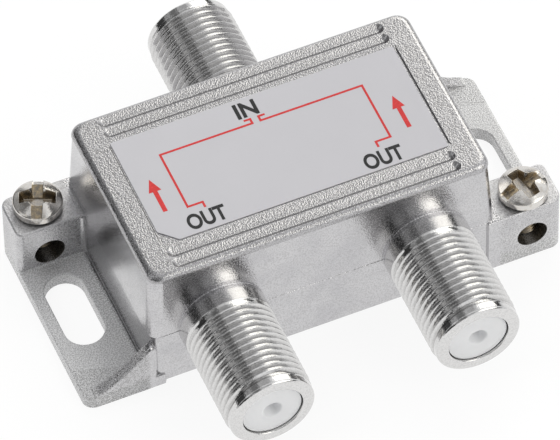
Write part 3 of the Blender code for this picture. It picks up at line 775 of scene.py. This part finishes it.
def ear_coves(side):
    out, back, up = (1, 0, 0), (0, -1, 0), (0, 0, 1)
    face = EAR_HALF - BLOCK_WIDTH
    web = GUSSET_THICKNESS - EAR_HALF
    wall_places = (web - BURIED, face + BURIED)
    post_places = (EAR_THICKNESS - BURIED, BLOCK_HEIGHT - BURIED)
    foot_places = (HALF_LENGTH - BURIED, EAR_REACH - BLOCK_CORNER)
    wall = [((HALF_LENGTH, place, EAR_THICKNESS), out, up, COVE) for place in wall_places]
    post = [((HALF_LENGTH, face, place), out, back, POST_COVE) for place in post_places]
    foot = [((place, face, EAR_THICKNESS), back, up, FOOT_COVE) for place in foot_places]
    named = {"wall_cove": wall, "post_cove": post, "foot_cove": foot}
    return [cove(name, side, stations) for name, stations in named.items()]


def ear_solids(side):
    """The solids of one ear. No two of them share a flat face, which Booleans don't like."""
    inner = HALF_LENGTH - WALL / 2
    near, face, far = -EAR_HALF, EAR_HALF - BLOCK_WIDTH, EAR_HALF
    plate = [(inner - FLANGE_ROOT, near + GUSSET_HIDDEN), (inner - FLANGE_ROOT / 2, near + HAIR)]
    plate += [*free_corner(near + HAIR, EAR_CORNER, -90), (EAR_REACH, face + BLOCK_CORNER)]
    plate += [(EAR_REACH - BLOCK_CORNER, far - BLOCK_CORNER), (inner, far - BLOCK_CORNER)]
    post = [(inner + HAIR, face), *free_corner(face, BLOCK_CORNER, -90), *free_corner(far, EAR_CORNER, 0)]
    post.append((inner + HAIR, far))
    flange = pad(f"flange_{side}", side, plate, 0.0, EAR_THICKNESS, EDGE_ROUNDING)
    block = pad(f"block_{side}", side, post, HAIR, BLOCK_HEIGHT, EDGE_ROUNDING)
    return [flange, block, gusset(side), *ear_coves(side)]


def rod(radius, low, high):
    """The profile of a plain round cutter."""
    return [(0, low), (radius, low), (radius, high), (0, high)]


def ear_cuts(side):
    sections = [(0, -OVERRUN)]
    for outward, upward in quarter_turn(EDGE_STEPS):
        sections.append((EDGE_ROUNDING * outward, EAR_THICKNESS + HAIR - EDGE_ROUNDING * (1 - upward)))
    sections.append((EDGE_ROUNDING, EAR_THICKNESS + OVERRUN))
    plans = []
    for spread, height in sections:
        outline = stadium(SLOT_LENGTH / 2 + spread, SLOT_WIDTH / 2 + spread)
        plans.append((on_ear(side, [(EAR_LINE - y, x - SLOT_SHIFT) for x, y in outline]), height))
    slot = loft(f"slot_{side}", plans)
    start = EAR_HALF - BLOCK_WIDTH - OVERRUN
    wire_hole = turned(f"wire_hole_{side}", rod(WIRE_HOLE_RADIUS, start, EAR_HALF + OVERRUN), HOLE_SIDES)
    turn = Matrix.Rotation(side * math.pi / 2, 4, "X")
    moved(wire_hole, Matrix.Translation((side * EAR_LINE, 0, WIRE_HOLE_HEIGHT)) @ turn)
    profile = rod(SCREW_HOLE_RADIUS, SCREW_HOLE_START, BLOCK_HEIGHT + OVERRUN)
    middle = span("ground_screw_left" if side < 0 else "ground_screw_right")[2]
    screw_hole = turned(f"screw_hole_{side}", profile, HOLE_SIDES)
    moved(screw_hole, Matrix.Translation((middle.x, middle.y, 0)))
    return [slot, screw_hole, wire_hole]


ears = [solid for side in (-1, 1) for solid in ear_solids(side)]
ear_holes = [cut for side in (-1, 1) for cut in ear_cuts(side)]
print(len(ears), "ear solids,", len(ear_holes), "cuts")

# %% [markdown]
# Two grooves run beside each long edge of the lid, and the label lies in a shallow recess between them.
# Seen across, lid and grooves are a row of sharp crests and soft valleys. Inside, the casting is hollow,
# with a ledge in each corner for the circuit board and a rebate for the cover at the back.

# %% Casting: lid and inside
GROOVE_LENGTH = 31.5 * MM
GROOVE_WIDTH = 1.3 * MM
GROOVE_DEPTH = 0.38 * MM
GROOVE_FLOOR = 0.3 * MM
GROOVE_PITCH = 1.42 * MM
RECESS_DEPTH = 0.155 * MM
RECESS_SLOPE = 0.5 * MM
OUTER_CREST = HALF_WIDTH - SIDE_LEAN - SIDE_ROUNDING
GROOVE_LINES = [OUTER_CREST - GROOVE_WIDTH / 2 - index * GROOVE_PITCH for index in range(2)]
RECESS_X = GROOVE_LENGTH / 2 + GROOVE_FLOOR / 2
RECESS_Y = GROOVE_LINES[-1] - GROOVE_PITCH / 2
RECESS_CORNER = 0.6 * MM
COVER_LEDGE = 0.4 * MM
CAVITY_X = HALF_LENGTH - END_LEAN - WALL
CAVITY_Y = HALF_WIDTH - SIDE_LEAN - WALL + COVER_LEDGE
CAVITY_CORNER = 0.8 * MM
CAVITY_GAP = 0.3 * MM
REBATE_TOP = span("back_cover")[1].z + CAVITY_GAP
BOARD_FACE = span("circuit_board")[1].z + CAVITY_GAP
BOARD_LEDGE = Vector((2.6, 2.2)) * MM


def lid_cuts():
    made = []
    slope = (GROOVE_WIDTH - GROOVE_FLOOR) / 2
    steps = [(0, -GROOVE_DEPTH), (slope * 0.3, 0.1 * MM - GROOVE_DEPTH), (slope, 0), (slope, OVERRUN)]
    for side in (-1, 1):
        for index, line in enumerate(GROOVE_LINES):
            sections = []
            for spread, height in steps:
                plan = stadium(GROOVE_LENGTH / 2 - slope + spread, GROOVE_FLOOR / 2 + spread)
                sections.append((shifted(plan, 0, side * line), LID + height))
            made.append(loft(f"groove_{side}_{index}", sections))
    sections = []
    for spread, height in ((0, -RECESS_DEPTH), (1, 0), (1, OVERRUN)):
        half_x = RECESS_X - RECESS_DEPTH * (1 - spread)
        half_y = RECESS_Y - RECESS_SLOPE * (1 - spread)
        sections.append((rounded_rectangle(half_x, half_y, RECESS_CORNER), LID + height))
    made.append(loft("label_recess", sections))
    return made


def inside_cuts():
    lower = rounded_rectangle(CAVITY_X, CAVITY_Y, CAVITY_CORNER)
    rebate = rounded_rectangle(CAVITY_X + COVER_LEDGE, CAVITY_Y + COVER_LEDGE, CAVITY_CORNER + COVER_LEDGE)
    short = (CAVITY_X - BOARD_LEDGE.x, CAVITY_Y - BOARD_LEDGE.y)
    quarter = [(CAVITY_X, short[1]), short, (short[0], CAVITY_Y)]
    cross = quarter + [(-x, y) for x, y in reversed(quarter)]
    cross += [(-x, -y) for x, y in quarter] + [(x, -y) for x, y in reversed(quarter)]
    return [
        loft("cavity_lower", [(lower, -OVERRUN), (lower, BOARD_FACE)]),
        loft("cavity_upper", [(cross, BOARD_FACE - OVERRUN), (cross, LID - LID_THICKNESS)]),
        loft("cover_rebate", [(rebate, -OVERRUN), (rebate, REBATE_TOP)]),
    ]


combine(casting, "UNION", stems + ears)
combine(casting, "DIFFERENCE", bores + ear_holes + lid_cuts() + inside_cuts())
print("casting:", len(casting.data.polygons), "faces, open edges", open_edges(casting))

# %% [markdown]
# Now the threads go in. The standard thread of an F port is 3/8 inch across with 32 turns to the inch.

# %% Casting: threads
for port in PORTS:
    ends = (THREAD_START, THREAD_END)
    radii = (THREAD_BAND, THREAD_ROOT, THREAD_CREST)
    cut_thread(casting, port_matrix(port), *ends, *radii, THREAD_PITCH, PORT_SIDES, THREAD_FADE)
smooth(casting)
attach(casting, "splitter_body")
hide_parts("housing")
print("casting with threads:", len(casting.data.polygons), "faces, open edges", open_edges(casting))

# %% [markdown]
# The plating is bright on the ports and satin on the walls, and the top faces keep a fine sandy grain from
# the mould. The flanges are duller. The lid's top is painted darker, as painted shade in its grain, and
# painted shade darkens the grain's hollows, the roots of the threads and the holes for the ground wires.
# One material does it all: masks made from the place and from the way a face looks say how deep the grain
# is, how rough the metal and how dark. A Bevel node rounds the light over edges that are too small to model.

# %% Material: cast plating
SAND_SIZE = 0.145 * MM
SAND_DEPTH = 0.05 * MM
WAVE_SIZE = 1.1 * MM
PATCH_SIZE = 3.5 * MM
SOFT_EDGE = 0.05 * MM
PORT_LIMITS = (11.5 * MM, 11.8 * MM)
LID_LIMITS = (LID - ROUNDING_DROP - 0.05 * MM, LID - ROUNDING_DROP)
BLOCK_LIMITS = (BLOCK_HEIGHT - 0.7 * MM, BLOCK_HEIGHT - 0.4 * MM)
EAR_LIMITS = (HALF_LENGTH + 0.1 * MM, HALF_LENGTH + 0.6 * MM)
FLANGE_LIMITS = (EAR_THICKNESS + 0.1 * MM, EAR_THICKNESS + 0.5 * MM)
RIB_LIMITS = (HALF_LENGTH * 10.0 * MM, HALF_LENGTH * 10.2 * MM)
BORE_LIMITS = (WIRE_HOLE_RADIUS - 0.02 * MM, WIRE_HOLE_RADIUS + 0.04 * MM)
ROOT_LIMITS = (THREAD_ROOT, THREAD_CREST - 0.06 * MM)
LEAD_LIMITS = (LEAD_START - 0.1 * MM, LEAD_START)
SIGN_BAND = 1.0 * MM * MM


def thread_roots(graph, x, y, z, thread):
    """1 down in the ports' threads, 0 on their crests and elsewhere."""
    beside = graph.math("MINIMUM", abs(abs(x) - PORTS["output_right"][0]), abs(x))
    from_axis = graph.length(beside, z - SEAM_HEIGHT)
    return (1 - from_axis.rise(*ROOT_LIMITS)) * thread * (1 - abs(y).rise(*LEAD_LIMITS))


def wire_bores(graph, x, y, z):
    """1 inside the holes for a ground wire. Their blocks lie where X and Y have unlike signs."""
    from_hole = graph.length(abs(x) - EAR_LINE, z - WIRE_HOLE_HEIGHT)
    return (1 - from_hole.rise(*BORE_LIMITS)) * (1 - (x * y).rise(-SIGN_BAND, SIGN_BAND))


def cast_plating():
    made, graph, place = new_material("cast_plating")
    x, y, z = graph.parts(place)
    up = graph.parts(graph.add("ShaderNodeNewGeometry", output="Normal"))[2]
    port = abs(y).rise(*PORT_LIMITS)
    thread = abs(y).rise(COLLAR_END, THREAD_START)
    lid = z.rise(*LID_LIMITS)
    top = graph.math("MAXIMUM", up.rise(0.3, 0.6) * z.rise(*BLOCK_LIMITS), lid) * (1 - port)
    ear = abs(x).rise(*EAR_LIMITS) * (1 - port)
    flange = ear * (1 - z.rise(*FLANGE_LIMITS))
    rib = (x * y).rise(*RIB_LIMITS) * ear
    coarse = graph.math("MAXIMUM", top, ear * 0.75)
    sand = graph.noise(place, SAND_SIZE, 1.0)
    waves = graph.noise(place, WAVE_SIZE)
    patches = graph.noise(place, PATCH_SIZE, 3.0, 0.6)
    height = sand * (0.35 + coarse * 0.45 + rib * 0.7 - port * 0.15) + waves * 0.15
    speck = sand.rise(0.47, 0.6) * (1 - thread) * (1 - top)
    roughness = 0.08 + top * 0.12 + ear * 0.12 + speck * 0.18 + (patches - 0.5) * 0.05
    satin = graph.mix(patches.rise(0.35, 0.7), rgb(0.63, 0.625, 0.635), rgb(0.57, 0.565, 0.58))
    bright = graph.mix(port, satin, rgb(0.72, 0.715, 0.71))
    # Painted shade: the lid's top gets a darker colour that stands in for shade in its sandy grain.
    bright = graph.mix(lid * (1 - port), bright, rgb(0.49, 0.485, 0.495))
    plain = graph.mix(flange, bright, rgb(0.64, 0.64, 0.645))
    # Painted shade: the grain's hollows and the roots of the threads are painted darker, most on the top
    # faces and the ears.
    grain_shade = (1 - sand.rise(0.36, 0.58)) * (0.3 + coarse * 0.16 + rib * 0.25 - port * 0.15)
    dark = grain_shade + thread_roots(graph, x, y, z, thread) * 0.4
    shaded = graph.mix(dark, plain, rgb(0.22, 0.215, 0.21))
    # Painted shade: the holes for the ground wires are painted dark brown inside.
    bore = wire_bores(graph, x, y, z) * (1 - flange)
    color = graph.mix(bore, shaded, rgb(0.10, 0.085, 0.055))
    metallic = 1 - ear * 0.2 - flange * 0.55
    normal = graph.bump(height, SAND_DEPTH, edge=SOFT_EDGE)
    finish_with(graph, Base_Color=color, Metallic=metallic, Roughness=roughness, Normal=normal)
    return made


dress(casting, cast_plating())
print("plating on", casting.name)

# %% [markdown]
# Each port is closed by a moulded plug of white plastic. Its face has a soft funnel that leads the cable's
# pin to the contact behind it. The plug is turned from its own section, in the place of the plain one, and
# its edges are round because moulded plastic never has a sharp edge.

# %% Plugs
PLUG_SIDES = 72
FUNNEL_RADIUS = 1.15 * MM
FUNNEL_DEPTH = 1.25 * MM
PIN_HOLE_RADIUS = 0.4 * MM
PLUG_EDGE = 0.07 * MM
FUNNEL_STEPS = 10
FUNNEL_CURVE = 1.2


def white_plastic():
    made, graph, place = new_material("white_plastic")
    cloud = graph.noise(place, 1.6 * MM, 3.0, 0.6)
    skin_grain = graph.noise(place, 0.12 * MM)
    color = graph.mix(cloud, rgb(0.77, 0.775, 0.79), rgb(0.83, 0.835, 0.85))
    normal = graph.bump(skin_grain, 0.01 * MM, 0.5)
    finish_with(graph, Base_Color=color, Roughness=0.36 + cloud * 0.1, Normal=normal)
    return made


def plug(port, look):
    side = PORTS[port][2]
    node = plug_node(port)
    low, high, _, size = span(node)
    face = high.y if side > 0 else -low.y
    back = face - size.y
    radius = size.x / 2
    profile = [(PIN_HOLE_RADIUS, back), (PIN_HOLE_RADIUS, face - FUNNEL_DEPTH)]
    for step in range(1, FUNNEL_STEPS + 1):
        share = step / FUNNEL_STEPS
        depth = FUNNEL_DEPTH * (0.5 + 0.5 * math.cos(math.pi * share)) ** FUNNEL_CURVE
        profile.append((PIN_HOLE_RADIUS + (FUNNEL_RADIUS - PIN_HOLE_RADIUS) * share, face - depth))
    profile += arc((radius - PLUG_EDGE, face - PLUG_EDGE), PLUG_EDGE, 90, -90, 5) + [(radius, back)]
    made = moved(turned(f"{port}_plug", profile, PLUG_SIDES, look), port_matrix(port))
    smooth(made)
    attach(made, "splitter_body")
    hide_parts(node)
    return made


plastic = white_plastic()
plugs = [plug(port, plastic) for port in PORTS]
print(len(plugs), "plugs,", len(plugs[0].data.polygons), "faces each")

# %% [markdown]
# A ground screw is a pan-head machine screw with a slot and a cross, so that either screwdriver fits. The
# head is turned, the slot and cross are cut with slightly tapered blades, and a small cone is sunk in the
# middle. The shank is threaded with the same maker as the ports. Each screw is placed on its own axis and
# rides on its own body.

# %% Ground screws
SCREW_SIDES = 64
HEAD_SEAT = BLOCK_HEIGHT + 0.3 * MM
HEAD_HEIGHT = 1.8 * MM
HEAD_EDGE = 0.7 * MM
HEAD_ROUNDING = 0.3 * MM
HEAD_CHAMFER = 0.06 * MM
DOME_STEPS = 12
SHANK_RADIUS = 1.45 * MM
SHANK_ROOT = 1.18 * MM
SHANK_BAND = 1.3 * MM
SHANK_PITCH = 0.5 * MM
SHANK_FADE = 0.15 * MM
SLOT_DEPTH = 1.25 * MM
CROSS_REACH = 2.05 * MM
CROSS_DEPTH = 1.45 * MM
CHAMFER_DEPTH = 0.5 * MM
CONE_SIDES = 24
RECESS_TINT_DEPTH = 0.6 * MM
# Half widths of each blade at its bottom and its top.
SLOT_HALVES = (0.5 * MM, 0.75 * MM)
CROSS_HALVES = (0.45 * MM, 1.2 * MM)
CHAMFER_HALVES = (0.2 * MM, 2.6 * MM)
# The cone's radii, and its heights over the top of the head.
CONE = [(0, -1.4 * MM), (0.5 * MM, -1.35 * MM), (1.5 * MM, 0.2 * MM), (0, 0.2 * MM)]


def blade(name, reach, halves, depth, top, angle):
    """A tapered cutter across the head, from its half width at the bottom to that at the top."""
    rings = []
    for level, half, share in ((top - depth, halves[0], 0.7), (top + OVERRUN, halves[1], 1.35)):
        far = reach * share
        rings.append([(-far, -half, level), (far, -half, level), (far, half, level), (-far, half, level)])
    return moved(skin(name, rings), Matrix.Rotation(math.radians(angle), 4, "Z"))


def ground_screw(name, body, slot_angle, look):
    low, _, middle, size = span(name)
    head_radius = size.x / 2
    tip = low.z
    top = HEAD_SEAT + HEAD_HEIGHT
    ends = (tip + 0.3 * MM, HEAD_SEAT - 0.25 * MM)
    profile = [(0, tip), (SHANK_ROOT - 0.2 * MM, tip), (SHANK_BAND, ends[0]), (SHANK_BAND, ends[1])]
    profile += [(SHANK_RADIUS, HEAD_SEAT - 0.05 * MM), (SHANK_RADIUS, HEAD_SEAT)]
    profile += [(head_radius - HEAD_CHAMFER, HEAD_SEAT), (head_radius, HEAD_SEAT + HEAD_CHAMFER)]
    profile += arc((head_radius - HEAD_ROUNDING, HEAD_SEAT + HEAD_EDGE), HEAD_ROUNDING, 0, 50, 6)
    shoulder_radius, shoulder = profile[-1]
    for step in range(1, DOME_STEPS + 1):
        share = step / DOME_STEPS
        bulge = (top - shoulder) * math.sin(share * math.pi / 2)
        profile.append((shoulder_radius * (1 - share), shoulder + bulge))
    made = turned(name + "_fine", profile, SCREW_SIDES, look)
    cone = [(radius, top + height) for radius, height in CONE]
    cutters = [
        blade(name + "_slot", 2 * head_radius, SLOT_HALVES, SLOT_DEPTH, top, slot_angle),
        blade(name + "_cross", CROSS_REACH, CROSS_HALVES, CROSS_DEPTH, top, slot_angle + 90),
        blade(name + "_chamfer", CROSS_REACH, CHAMFER_HALVES, CHAMFER_DEPTH, top, slot_angle + 90),
        turned(name + "_cone", cone, CONE_SIDES),
    ]
    combine(made, "DIFFERENCE", cutters)
    radii = (SHANK_BAND, SHANK_ROOT, SHANK_RADIUS)
    cut_thread(made, Matrix(), *ends, *radii, SHANK_PITCH, SCREW_SIDES, SHANK_FADE)
    moved(made, Matrix.Translation((middle.x, middle.y, 0)))
    smooth(made)
    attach(made, body)
    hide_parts(name)
    return made


def screw_plating():
    """Bright nickel, with brown tarnish and painted shade down in the slots and on the shank."""
    made, graph, place = new_material("bright_nickel")
    x, y, z = graph.parts(place)
    squares = []
    for name in ("ground_screw_left", "ground_screw_right"):
        center = span(name)[2]
        squares.append((x - center.x) * (x - center.x) + (y - center.y) * (y - center.y))
    head_radius = span("ground_screw_left")[3].x / 2
    share = graph.math("MINIMUM", *squares) / head_radius ** 2
    bulge = graph.math("SQRT", graph.math("MAXIMUM", 1 - share, 0.0))
    dome = bulge * (HEAD_HEIGHT - HEAD_EDGE) + (HEAD_SEAT + HEAD_EDGE)
    in_head = z.rise(HEAD_SEAT + HEAD_EDGE * 0.2, HEAD_SEAT + HEAD_EDGE * 0.8) * (1 - share.rise(0.7, 0.8))
    # Tarnish and painted shade: the slots turn darker brown with depth, and the shank below the head is brown
    # too.
    slots = (dome - z).rise(0.25 * MM, RECESS_TINT_DEPTH) * in_head
    sunk = graph.math("MAXIMUM", slots, 1 - z.rise(HEAD_SEAT - 0.3 * MM, HEAD_SEAT - 0.1 * MM))
    streaks = graph.noise(place, 0.5 * MM, 3.0, 0.6)
    fine = graph.noise(place, 0.12 * MM)
    bright = graph.mix(streaks.rise(0.4, 0.75), rgb(0.70, 0.68, 0.65), rgb(0.62, 0.58, 0.53))
    tarnish_and_shade = graph.mix(streaks.rise(0.3, 0.7), rgb(0.05, 0.035, 0.018), rgb(0.26, 0.19, 0.09))
    normal = graph.bump(streaks + fine * 0.6, 0.014 * MM, edge=0.07 * MM)
    roughness = 0.1 + streaks * 0.08 + sunk * 0.12
    color = graph.mix(sunk * 0.8, bright, tarnish_and_shade)
    finish_with(graph, Base_Color=color, Metallic=1.0, Roughness=roughness, Normal=normal)
    return made


nickel = screw_plating()
ground_screw("ground_screw_left", "screw_left", 66, nickel)
ground_screw("ground_screw_right", "screw_right", 14, nickel)
print("two ground screws")

# %% [markdown]
# The label is a printed sheet, silver-grey and matt. Print has no thickness that can be seen, but separate
# thin pieces keep their edges sharp at any distance, so the lines, arrows and words are cut as very thin
# sheets that lie on the label. A line is drawn as a ribbon: its route is offset to both sides, with square
# corners.

# %% Label and its print
INK_THICKNESS = 0.012 * MM
LINE_WIDTH = 0.24 * MM
LINE_Y = 3.62 * MM
RED = rgb(0.5, 0.022, 0.022)
BLACK = rgb(0.008, 0.008, 0.009)
STUB_LENGTH = 0.7 * MM
STUB_Y = 4.22 * MM
HOOK_LENGTH = 1.62 * MM
HOOK_Y = -4.35 * MM
# For each side, where its line starts beside the upper word and how far out it runs, in millimetres.
ROUTES = {-1: (-1.4, -11.55), 1: (-0.5, 10.7)}
ARROWS_X = (-13.8 * MM, 12.98 * MM)
ARROW_ENDS = (1.15 * MM, -3.25 * MM)
WORD_HEIGHT = 2.0 * MM
# Text, place of its lower left corner and width, in millimetres.
WORDS = {
    "input_word": ("IN", -2.5, 4.55, 2.35),
    "output_word_left": ("OUT", -12.4, -6.6, 4.2),
    "output_word_right": ("OUT", 6.9, -6.75, 4.2),
}


def printed(name, outlines, look):
    """Flat outlines extruded by the thickness of the ink, as one piece on the label."""
    bm = bmesh.new()
    for outline in outlines:
        face = bm.faces.new([bm.verts.new((x, y, LABEL_TOP - INK_THICKNESS / 2)) for x, y in outline])
        if face.calc_area() > 0 and face.normal.z > 0:
            face.normal_flip()
        pushed = bmesh.ops.extrude_face_region(bm, geom=[face])["geom"]
        upper = [item for item in pushed if isinstance(item, bmesh.types.BMVert)]
        bmesh.ops.translate(bm, verts=upper, vec=(0, 0, INK_THICKNESS * 1.5))
    return put_on_label(add_object(name, bm, look))


def put_on_label(made):
    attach(made, "splitter_body")
    return made


def ribbon(route, width):
    """Outline of a line of that width along a route, with mitred corners."""
    points = [Vector(point) for point in route]
    left, right = [], []
    for index, here in enumerate(points):
        before = (here - points[index - 1]).normalized() if index else None
        after = (points[index + 1] - here).normalized() if index + 1 < len(points) else None
        first = before or after
        second = after or before
        middle = (Vector((-first.y, first.x)) + Vector((-second.y, second.x))).normalized()
        reach = width / 2 / middle.dot(Vector((-first.y, first.x)))
        left.append(tuple(here + middle * reach))
        right.append(tuple(here - middle * reach))
    return right + left[::-1]


def arrow(x, tip, tail):
    """A plain arrow along Y."""
    shaft, wing, head = 0.24 * MM, 0.68 * MM, 1.65 * MM
    side = [(x + shaft, tail), (x + shaft, tip - head), (x + wing, tip - head)]
    return side + [(x, tip)] + [(2 * x - px, py) for px, py in reversed(side)]


def words(name, text, x, y, height, width, look):
    """Plain lettering with its lower left corner at a place on the label."""
    curve = bpy.data.curves.new(name, "FONT")
    curve.body = text
    curve.size = height * 1.42
    curve.offset = height * 0.045
    curve.resolution_u = 6
    curve.extrude = INK_THICKNESS / 2
    guide = bpy.data.objects.new(name + "_guide", curve)
    bpy.context.scene.collection.objects.link(guide)
    bpy.context.view_layer.update()
    mesh = bpy.data.meshes.new_from_object(guide.evaluated_get(bpy.context.evaluated_depsgraph_get()))
    bpy.data.objects.remove(guide)
    bpy.data.curves.remove(curve)
    corners = numpy.array([vert.co for vert in mesh.vertices])
    low, high = corners.min(axis=0), corners.max(axis=0)
    scale = (width / (high[0] - low[0]), height / (high[1] - low[1]), 1)
    target = Matrix.Translation((x, y, LABEL_TOP + INK_THICKNESS / 2)) @ Matrix.Diagonal((*scale, 1))
    mesh.transform(target @ Matrix.Translation((-low[0], -low[1], 0)))
    made = bpy.data.objects.new(name, mesh)
    bpy.context.scene.collection.objects.link(made)
    dress(made, look)
    return put_on_label(made)


def ink(name, color):
    made, graph, place = new_material(name)
    press = graph.noise(place, 0.25 * MM, 3.0, 0.6)
    paler = tuple(min(1, channel * 1.35 + 0.01) for channel in color[:3]) + (1.0,)
    color = graph.mix(press.rise(0.45, 0.8), color, paler)
    finish_with(graph, Base_Color=color, Roughness=0.5 + press * 0.15)
    return made


def label_sheet():
    made, graph, place = new_material("label_sheet")
    fibres = graph.noise(place, 0.2 * MM, 3.0, 0.6)
    cloud = graph.noise(place, 4 * MM)
    color = graph.mix(fibres * 0.5 + cloud * 0.5, rgb(0.46, 0.455, 0.48), rgb(0.50, 0.495, 0.52))
    normal = graph.bump(fibres, 0.008 * MM, 0.4)
    finish_with(graph, Base_Color=color, Metallic=0.15, Roughness=0.5 + fibres * 0.12, Normal=normal)
    return made


dress(nodes["label"], label_sheet())
red_ink, black_ink = ink("red_ink", RED), ink("black_ink", BLACK)
lines = []
for side, (start, outer) in ROUTES.items():
    start, outer = start * MM, outer * MM
    hook = outer - side * HOOK_LENGTH
    route = [(start + side * STUB_LENGTH, STUB_Y), (start, STUB_Y), (start, LINE_Y), (outer, LINE_Y)]
    route += [(outer, -LINE_Y), (hook, -LINE_Y), (hook, HOOK_Y)]
    lines.append(ribbon(route, LINE_WIDTH))
printed("through_lines", lines, red_ink)
printed("direction_arrows", [arrow(x, *ARROW_ENDS) for x in ARROWS_X], red_ink)
for name, (text, x, y, width) in WORDS.items():
    words(name, text, x * MM, y * MM, WORD_HEIGHT, width * MM, black_ink)
print("label printed")

# %% [markdown]
# The pieces inside and the cover at the back keep their shapes from the model, so each of them only needs a
# material. Plain ones differ in two colours, in how rough they are and in their grain, which a table can
# hold. The parts with wire leads are coloured by their place inside their own box: the body in the middle,
# bare wire outside it.

# %% Materials: cover and circuit
# Two colours, metallic, roughness, and the size of the grain along X, Y and Z in millimetres.
PLAIN_LOOKS = {
    "tinned_sheet": (rgb(0.60, 0.60, 0.59), rgb(0.46, 0.46, 0.455), 1.0, 0.3, (0.06, 1.5, 1.0)),
    "spring_bronze": (rgb(0.76, 0.68, 0.50), rgb(0.60, 0.50, 0.33), 1.0, 0.22, (0.5, 0.5, 0.5)),
    "bare_laminate": (rgb(0.42, 0.31, 0.13), rgb(0.31, 0.21, 0.075), 0.0, 0.45, (0.25, 1.6, 0.4)),
    "dark_ferrite": (rgb(0.075, 0.075, 0.08), rgb(0.03, 0.03, 0.033), 0.0, 0.62, (0.15, 0.15, 0.15)),
    "enamelled_copper": (rgb(0.62, 0.22, 0.08), rgb(0.42, 0.11, 0.035), 1.0, 0.2, (0.3, 0.3, 0.3)),
}
# Two colours, the axis of the leads, and as shares of the box half the body's length and where it starts.
LEADED_LOOKS = {
    "lacquered_resistor": (rgb(0.60, 0.46, 0.28), rgb(0.50, 0.37, 0.21), 0, 0.27, 0.556),
    "moulded_diode": (rgb(0.022, 0.022, 0.024), rgb(0.04, 0.04, 0.042), 1, 0.262, 0.526),
    "lacquered_choke": (rgb(0.07, 0.20, 0.10), rgb(0.045, 0.14, 0.07), 1, 0.296, 0.476),
    "dipped_ceramic": (rgb(0.66, 0.32, 0.07), rgb(0.52, 0.22, 0.04), 0, 0.6, 0.43),
}
# Middle, half width and colour of each band.
BANDS = {
    "lacquered_resistor": [
        (-0.19, 0.022, rgb(0.20, 0.05, 0.02)), (-0.1, 0.022, rgb(0.02, 0.02, 0.02)),
        (-0.02, 0.022, rgb(0.20, 0.05, 0.02)), (0.17, 0.022, rgb(0.50, 0.33, 0.06)),
    ],
    "moulded_diode": [(0.19, 0.035, rgb(0.7, 0.7, 0.7))],
    "lacquered_choke": [(-0.16, 0.03, rgb(0.25, 0.06, 0.02)), (0.04, 0.03, rgb(0.45, 0.03, 0.02))],
    "dipped_ceramic": [],
}
WORN_BY = {
    "tinned_sheet": ["back_cover"],
    "spring_bronze": ["input_contact", "output_contact_left", "output_contact_right"],
    "bare_laminate": ["circuit_board"],
    "dark_ferrite": ["matching_core", "divider_core"],
    "enamelled_copper": ["matching_winding", "divider_winding"],
    "lacquered_resistor": ["balance_resistor"],
    "moulded_diode": ["diode_left", "diode_right"],
    "lacquered_choke": ["choke_left", "choke_right"],
    "dipped_ceramic": [
        "matching_capacitor", "input_capacitor", "output_capacitor_left", "output_capacitor_right",
    ],
}


def plain_look(name):
    """Two colours in a stretched grain."""
    light, dark, metallic, roughness, grain = PLAIN_LOOKS[name]
    made, graph, place = new_material(name)
    scale = tuple(1 / (size * MM) for size in grain)
    stretched = graph.add("ShaderNodeMapping", {}, {"Vector": place, "Scale": scale})
    streaks = graph.noise(stretched, 1.0, 3.0, 0.6)
    cloud = graph.noise(place, 4 * MM)
    color = graph.mix(streaks.rise(0.3, 0.7) * 0.6 + cloud * 0.4, light, dark)
    normal = graph.bump(streaks, 0.012 * MM, 0.6)
    rough = roughness + streaks * 0.12
    finish_with(graph, Base_Color=color, Metallic=metallic, Roughness=rough, Normal=normal)
    return made


def leaded_look(name):
    """A coated body with coloured bands between two bare wires."""
    light, dark, axis, half, bottom = LEADED_LOOKS[name]
    made, graph, place = new_material(name)
    own = graph.parts(graph.add("ShaderNodeTexCoord", output="Generated"))
    along = own[axis] - 0.5
    body = (1 - abs(along).rise(half, half + 0.01)) * own[2].rise(bottom - 0.02, bottom)
    mottle = graph.noise(place, 0.35 * MM, 3.0, 0.6)
    color = graph.mix(mottle.rise(0.3, 0.7), light, dark)
    for middle, reach, paint in BANDS[name]:
        color = graph.mix(1 - abs(along - middle).rise(reach, reach + 0.008), color, paint)
    wire = graph.mix(mottle, rgb(0.66, 0.65, 0.63), rgb(0.52, 0.51, 0.50))
    color = graph.mix(body, wire, color)
    normal = graph.bump(mottle, 0.015 * MM, 0.5)
    rough = 0.28 + mottle * 0.15
    finish_with(graph, Base_Color=color, Metallic=1 - body, Roughness=rough, Normal=normal)
    return made


for name, wearers in WORN_BY.items():
    look = plain_look(name) if name in PLAIN_LOOKS else leaded_look(name)
    for wearer in wearers:
        dress(nodes[wearer], look)
print(len(WORN_BY), "materials on", sum(len(wearers) for wearers in WORN_BY.values()), "carried-over pieces")
